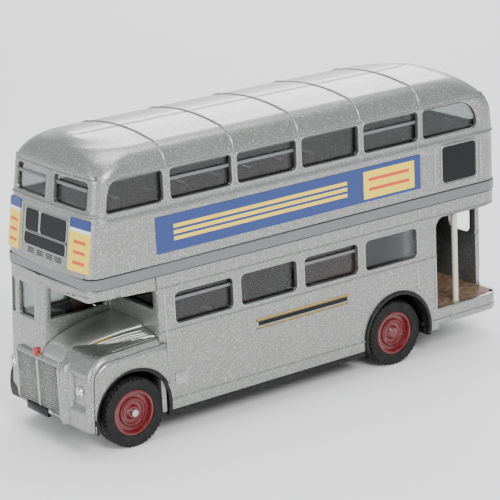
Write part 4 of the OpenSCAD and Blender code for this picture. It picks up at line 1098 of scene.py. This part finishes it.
wheelSet = {"front": (frontAxle, 4.0, False), "rear": (rearAxle, 5.0, True)}
for end, (centre, discW, shut) in wheelSet.items():
    body = end + "_wheelset"
    for sgn, sideName in ((1, "left"), (-1, "right")):
        axis = np.array([0, float(sgn), 0])
        lo, hi = corners(f"{end}_tyre_{sideName}")
        outR, faceY = (hi[2] - lo[2]) / 2, max(abs(lo[1]), abs(hi[1]))
        tyreW = hi[1] - lo[1]
        spot = np.array([centre[0], 0, centre[2]])
        # tyre: a rounded section turned about the axle, with blocks cut round both edges of the tread
        inner, a = 5.35, np.linspace(0, np.pi / 2, 5)
        base = faceY - tyreW
        ring = [(inner, base + 0.3), (inner + 0.25, base + 0.08), (outR - 1.0, base),
            (outR - 0.45, base + 0.1)]
        ring += [(outR - 0.45 + 0.45 * np.sin(t), base + 0.1 + 0.7 * (1 - np.cos(t))) for t in a[1:]]
        tread = np.linspace(base + 0.85, faceY - 0.85, 9)
        ring += [(outR, w) for w in tread]
        ring += [(outR - 0.45 + 0.45 * np.cos(t), faceY - 0.1 - 0.7 * (1 - np.sin(t)))
            for t in a[:-1]] + [(outR - 0.45, faceY - 0.1), (outR - 0.8, faceY - 0.02),
            (outR - 1.15, faceY - 0.1), (outR - 1.5, faceY - 0.02), (inner + 0.5, faceY - 0.12),
            (inner + 0.1, faceY - 0.3), (inner, faceY - 0.6)]
        ring = np.array(ring)
        nearEdge = np.clip(1 - np.abs(ring[:, 1] - (faceY - 0.55)) / 0.62, 0,
            1) + np.clip(1 - np.abs(ring[:, 1] - (base + 0.55)) / 0.62, 0, 1)
        onTread = np.clip((ring[:, 0] - (outR - 0.75)) / 0.3, 0, 1)
        centreCut = np.exp(-((ring[:, 1] - (base + faceY) / 2) / 0.16) ** 2) * (ring[:, 0] > outR - 0.05)

        def treadBlocks(angle, row):
            # blocks: a steep wave of 44 to the turn, deepest at the two edges, and a groove round the middle
            wave = 1 / (1 + np.exp(-(np.cos(44 * angle) - 0.15) * 9))
            return 0.42 * wave * (nearEdge * onTread)[row] + 0.2 * centreCut[row]

        points, faces = turned(ring, spot, axis, 440, treadBlocks)
        makePiece(f"{end}Tyre{sideName.title()}", points, faces[:, ::-1], rubber, body,
            (f"{end}_tyre_{sideName}",), 30)
        # disc: stepped rings, a dished web and a hub
        f = faceY - 0.6 + 0.1
        hub = [(0.0, f - 0.05), (0.7, f - 0.05), (1.2, f - 0.15), (1.5, f - 0.45)] if shut else [(0.82,
            f - 0.45), (0.85, f - 0.2), (1.3, f - 0.2), (1.5, f - 0.5)]
        bore = 0.0 if shut else 0.82
        disc = [(bore, faceY - discW), (5.45, faceY - discW), (5.45, faceY - 0.75), (5.3, f + 0.1),
            (5.0, f + 0.22), (4.7, f + 0.1), (4.45, f - 0.6), (4.3, f - 1.0), (3.7, f - 1.05),
            (3.45, f - 0.95), (3.25, f - 0.55), (3.0, f - 0.45), (2.8, f - 0.55), (2.6, f - 0.85),
            (2.3, f - 0.95), (1.8, f - 0.85)] + hub[::-1]
        if not shut:
            disc.append((bore, faceY - discW))
        points, faces = turned(disc, spot, axis, 96)
        makePiece(f"{end}Wheel{sideName.title()}", points, faces[:, ::-1], wheelRed, body,
            (f"{end}_wheel_{sideName}",), 28)
print("wheels done")

finishes = {
    "stair_casing": stairPaint, "upper_glazing": shadeTintedGlazing, "lower_glazing": shadeTintedGlazing,
    "cab_glazing": shadeTintedGlazing,
    "upper_benches": redPlastic, "lower_benches": redPlastic, "driver_bench": redPlastic,
    "steering_wheel": ivoryPlastic, "saloon_floor": brownFloor,
    "platform_pole": polePaint, "chassis": blackBase, "base_rivets": steel, "front_axle": steel,
    "rear_axle": steel,
}
for name, material in finishes.items():
    mesh = nodes[name].data
    if not mesh.materials:
        mesh.materials.append(material)
    for k in range(len(mesh.materials)):
        mesh.materials[k] = material
print("packed pieces finished")

stage = {"floor": (0.94, 0.94, 0.94, 1), "lens": 157.9, "sensor": 36.0, "shift": (0.0088, -0.0014),
         "yaw": 234.108, "pitch": -16.574, "roll": -2.85, "cameraSpot": (0.29897, 0.40728, 0.18258),
         "middle": (0, 0, 0.035),
         "lights": {"keyLight": ((0.15, 0.62, 0.5), 0.3, 5.5), "frontLight": ((0.75, 0.1, 0.3), 0.45, 3.0),
                    "topLight": ((-0.15, -0.1, 0.8), 0.5, 4.0), "backLight": ((-0.5, -0.6, 0.4), 0.4, 3.0)},
         "sky": (0.95, 0.97, 1.0, 1), "skyStrength": 0.75}
floorMesh = bpy.data.meshes.new("floor")
floorMesh.from_pydata([(-3, -3, 0), (3, -3, 0), (3, 3, 0), (-3, 3, 0)], [], [(0, 1, 2, 3)])
floor = bpy.data.objects.new("floor", floorMesh)
bpy.context.scene.collection.objects.link(floor)
floorMat = bpy.data.materials.new("paleFloor")
floorMat.use_nodes = True
floorMat.node_tree.nodes["Principled BSDF"].inputs["Base Color"].default_value = stage["floor"]
floorMat.node_tree.nodes["Principled BSDF"].inputs["Roughness"].default_value = 0.7
floorMesh.materials.append(floorMat)


def softLight(name, spot, target, size, watts):
    data = bpy.data.lights.new(name, "AREA")
    data.shape, data.size, data.energy = "SQUARE", size, watts
    light = bpy.data.objects.new(name, data)
    bpy.context.scene.collection.objects.link(light)
    light.location = spot
    light.rotation_euler = (Vector(target) - Vector(spot)).to_track_quat("-Z", "Y").to_euler()


for name, (spot, size, watts) in stage["lights"].items():
    softLight(name, spot, stage["middle"], size, watts)
world = bpy.data.worlds.new("studio")
bpy.context.scene.world = world
world.use_nodes = True
world.node_tree.nodes["Background"].inputs["Color"].default_value = stage["sky"]
world.node_tree.nodes["Background"].inputs["Strength"].default_value = stage["skyStrength"]

yaw, pitch, roll = (np.radians(stage[k]) for k in ("yaw", "pitch", "roll"))
forward = np.array([np.cos(pitch) * np.cos(yaw), np.cos(pitch) * np.sin(yaw), np.sin(pitch)])
right = np.cross(forward, [0, 0, 1.0])
right /= np.linalg.norm(right)
top = np.cross(right, forward)
rightTurned = np.cos(roll) * right + np.sin(roll) * top
topTurned = -np.sin(roll) * right + np.cos(roll) * top
camData = bpy.data.cameras.new("camera")
camData.lens, camData.sensor_width, camData.clip_start = stage["lens"], stage["sensor"], 0.01
camData.shift_x, camData.shift_y = stage["shift"]
camera = bpy.data.objects.new("camera", camData)
bpy.context.scene.collection.objects.link(camera)
turn = np.eye(4)
turn[:3, 0], turn[:3, 1], turn[:3, 2], turn[:3,
    3] = rightTurned, topTurned, -forward, np.array(stage["cameraSpot"])
camera.matrix_world = Matrix(turn.tolist())
bpy.context.scene.camera = camera
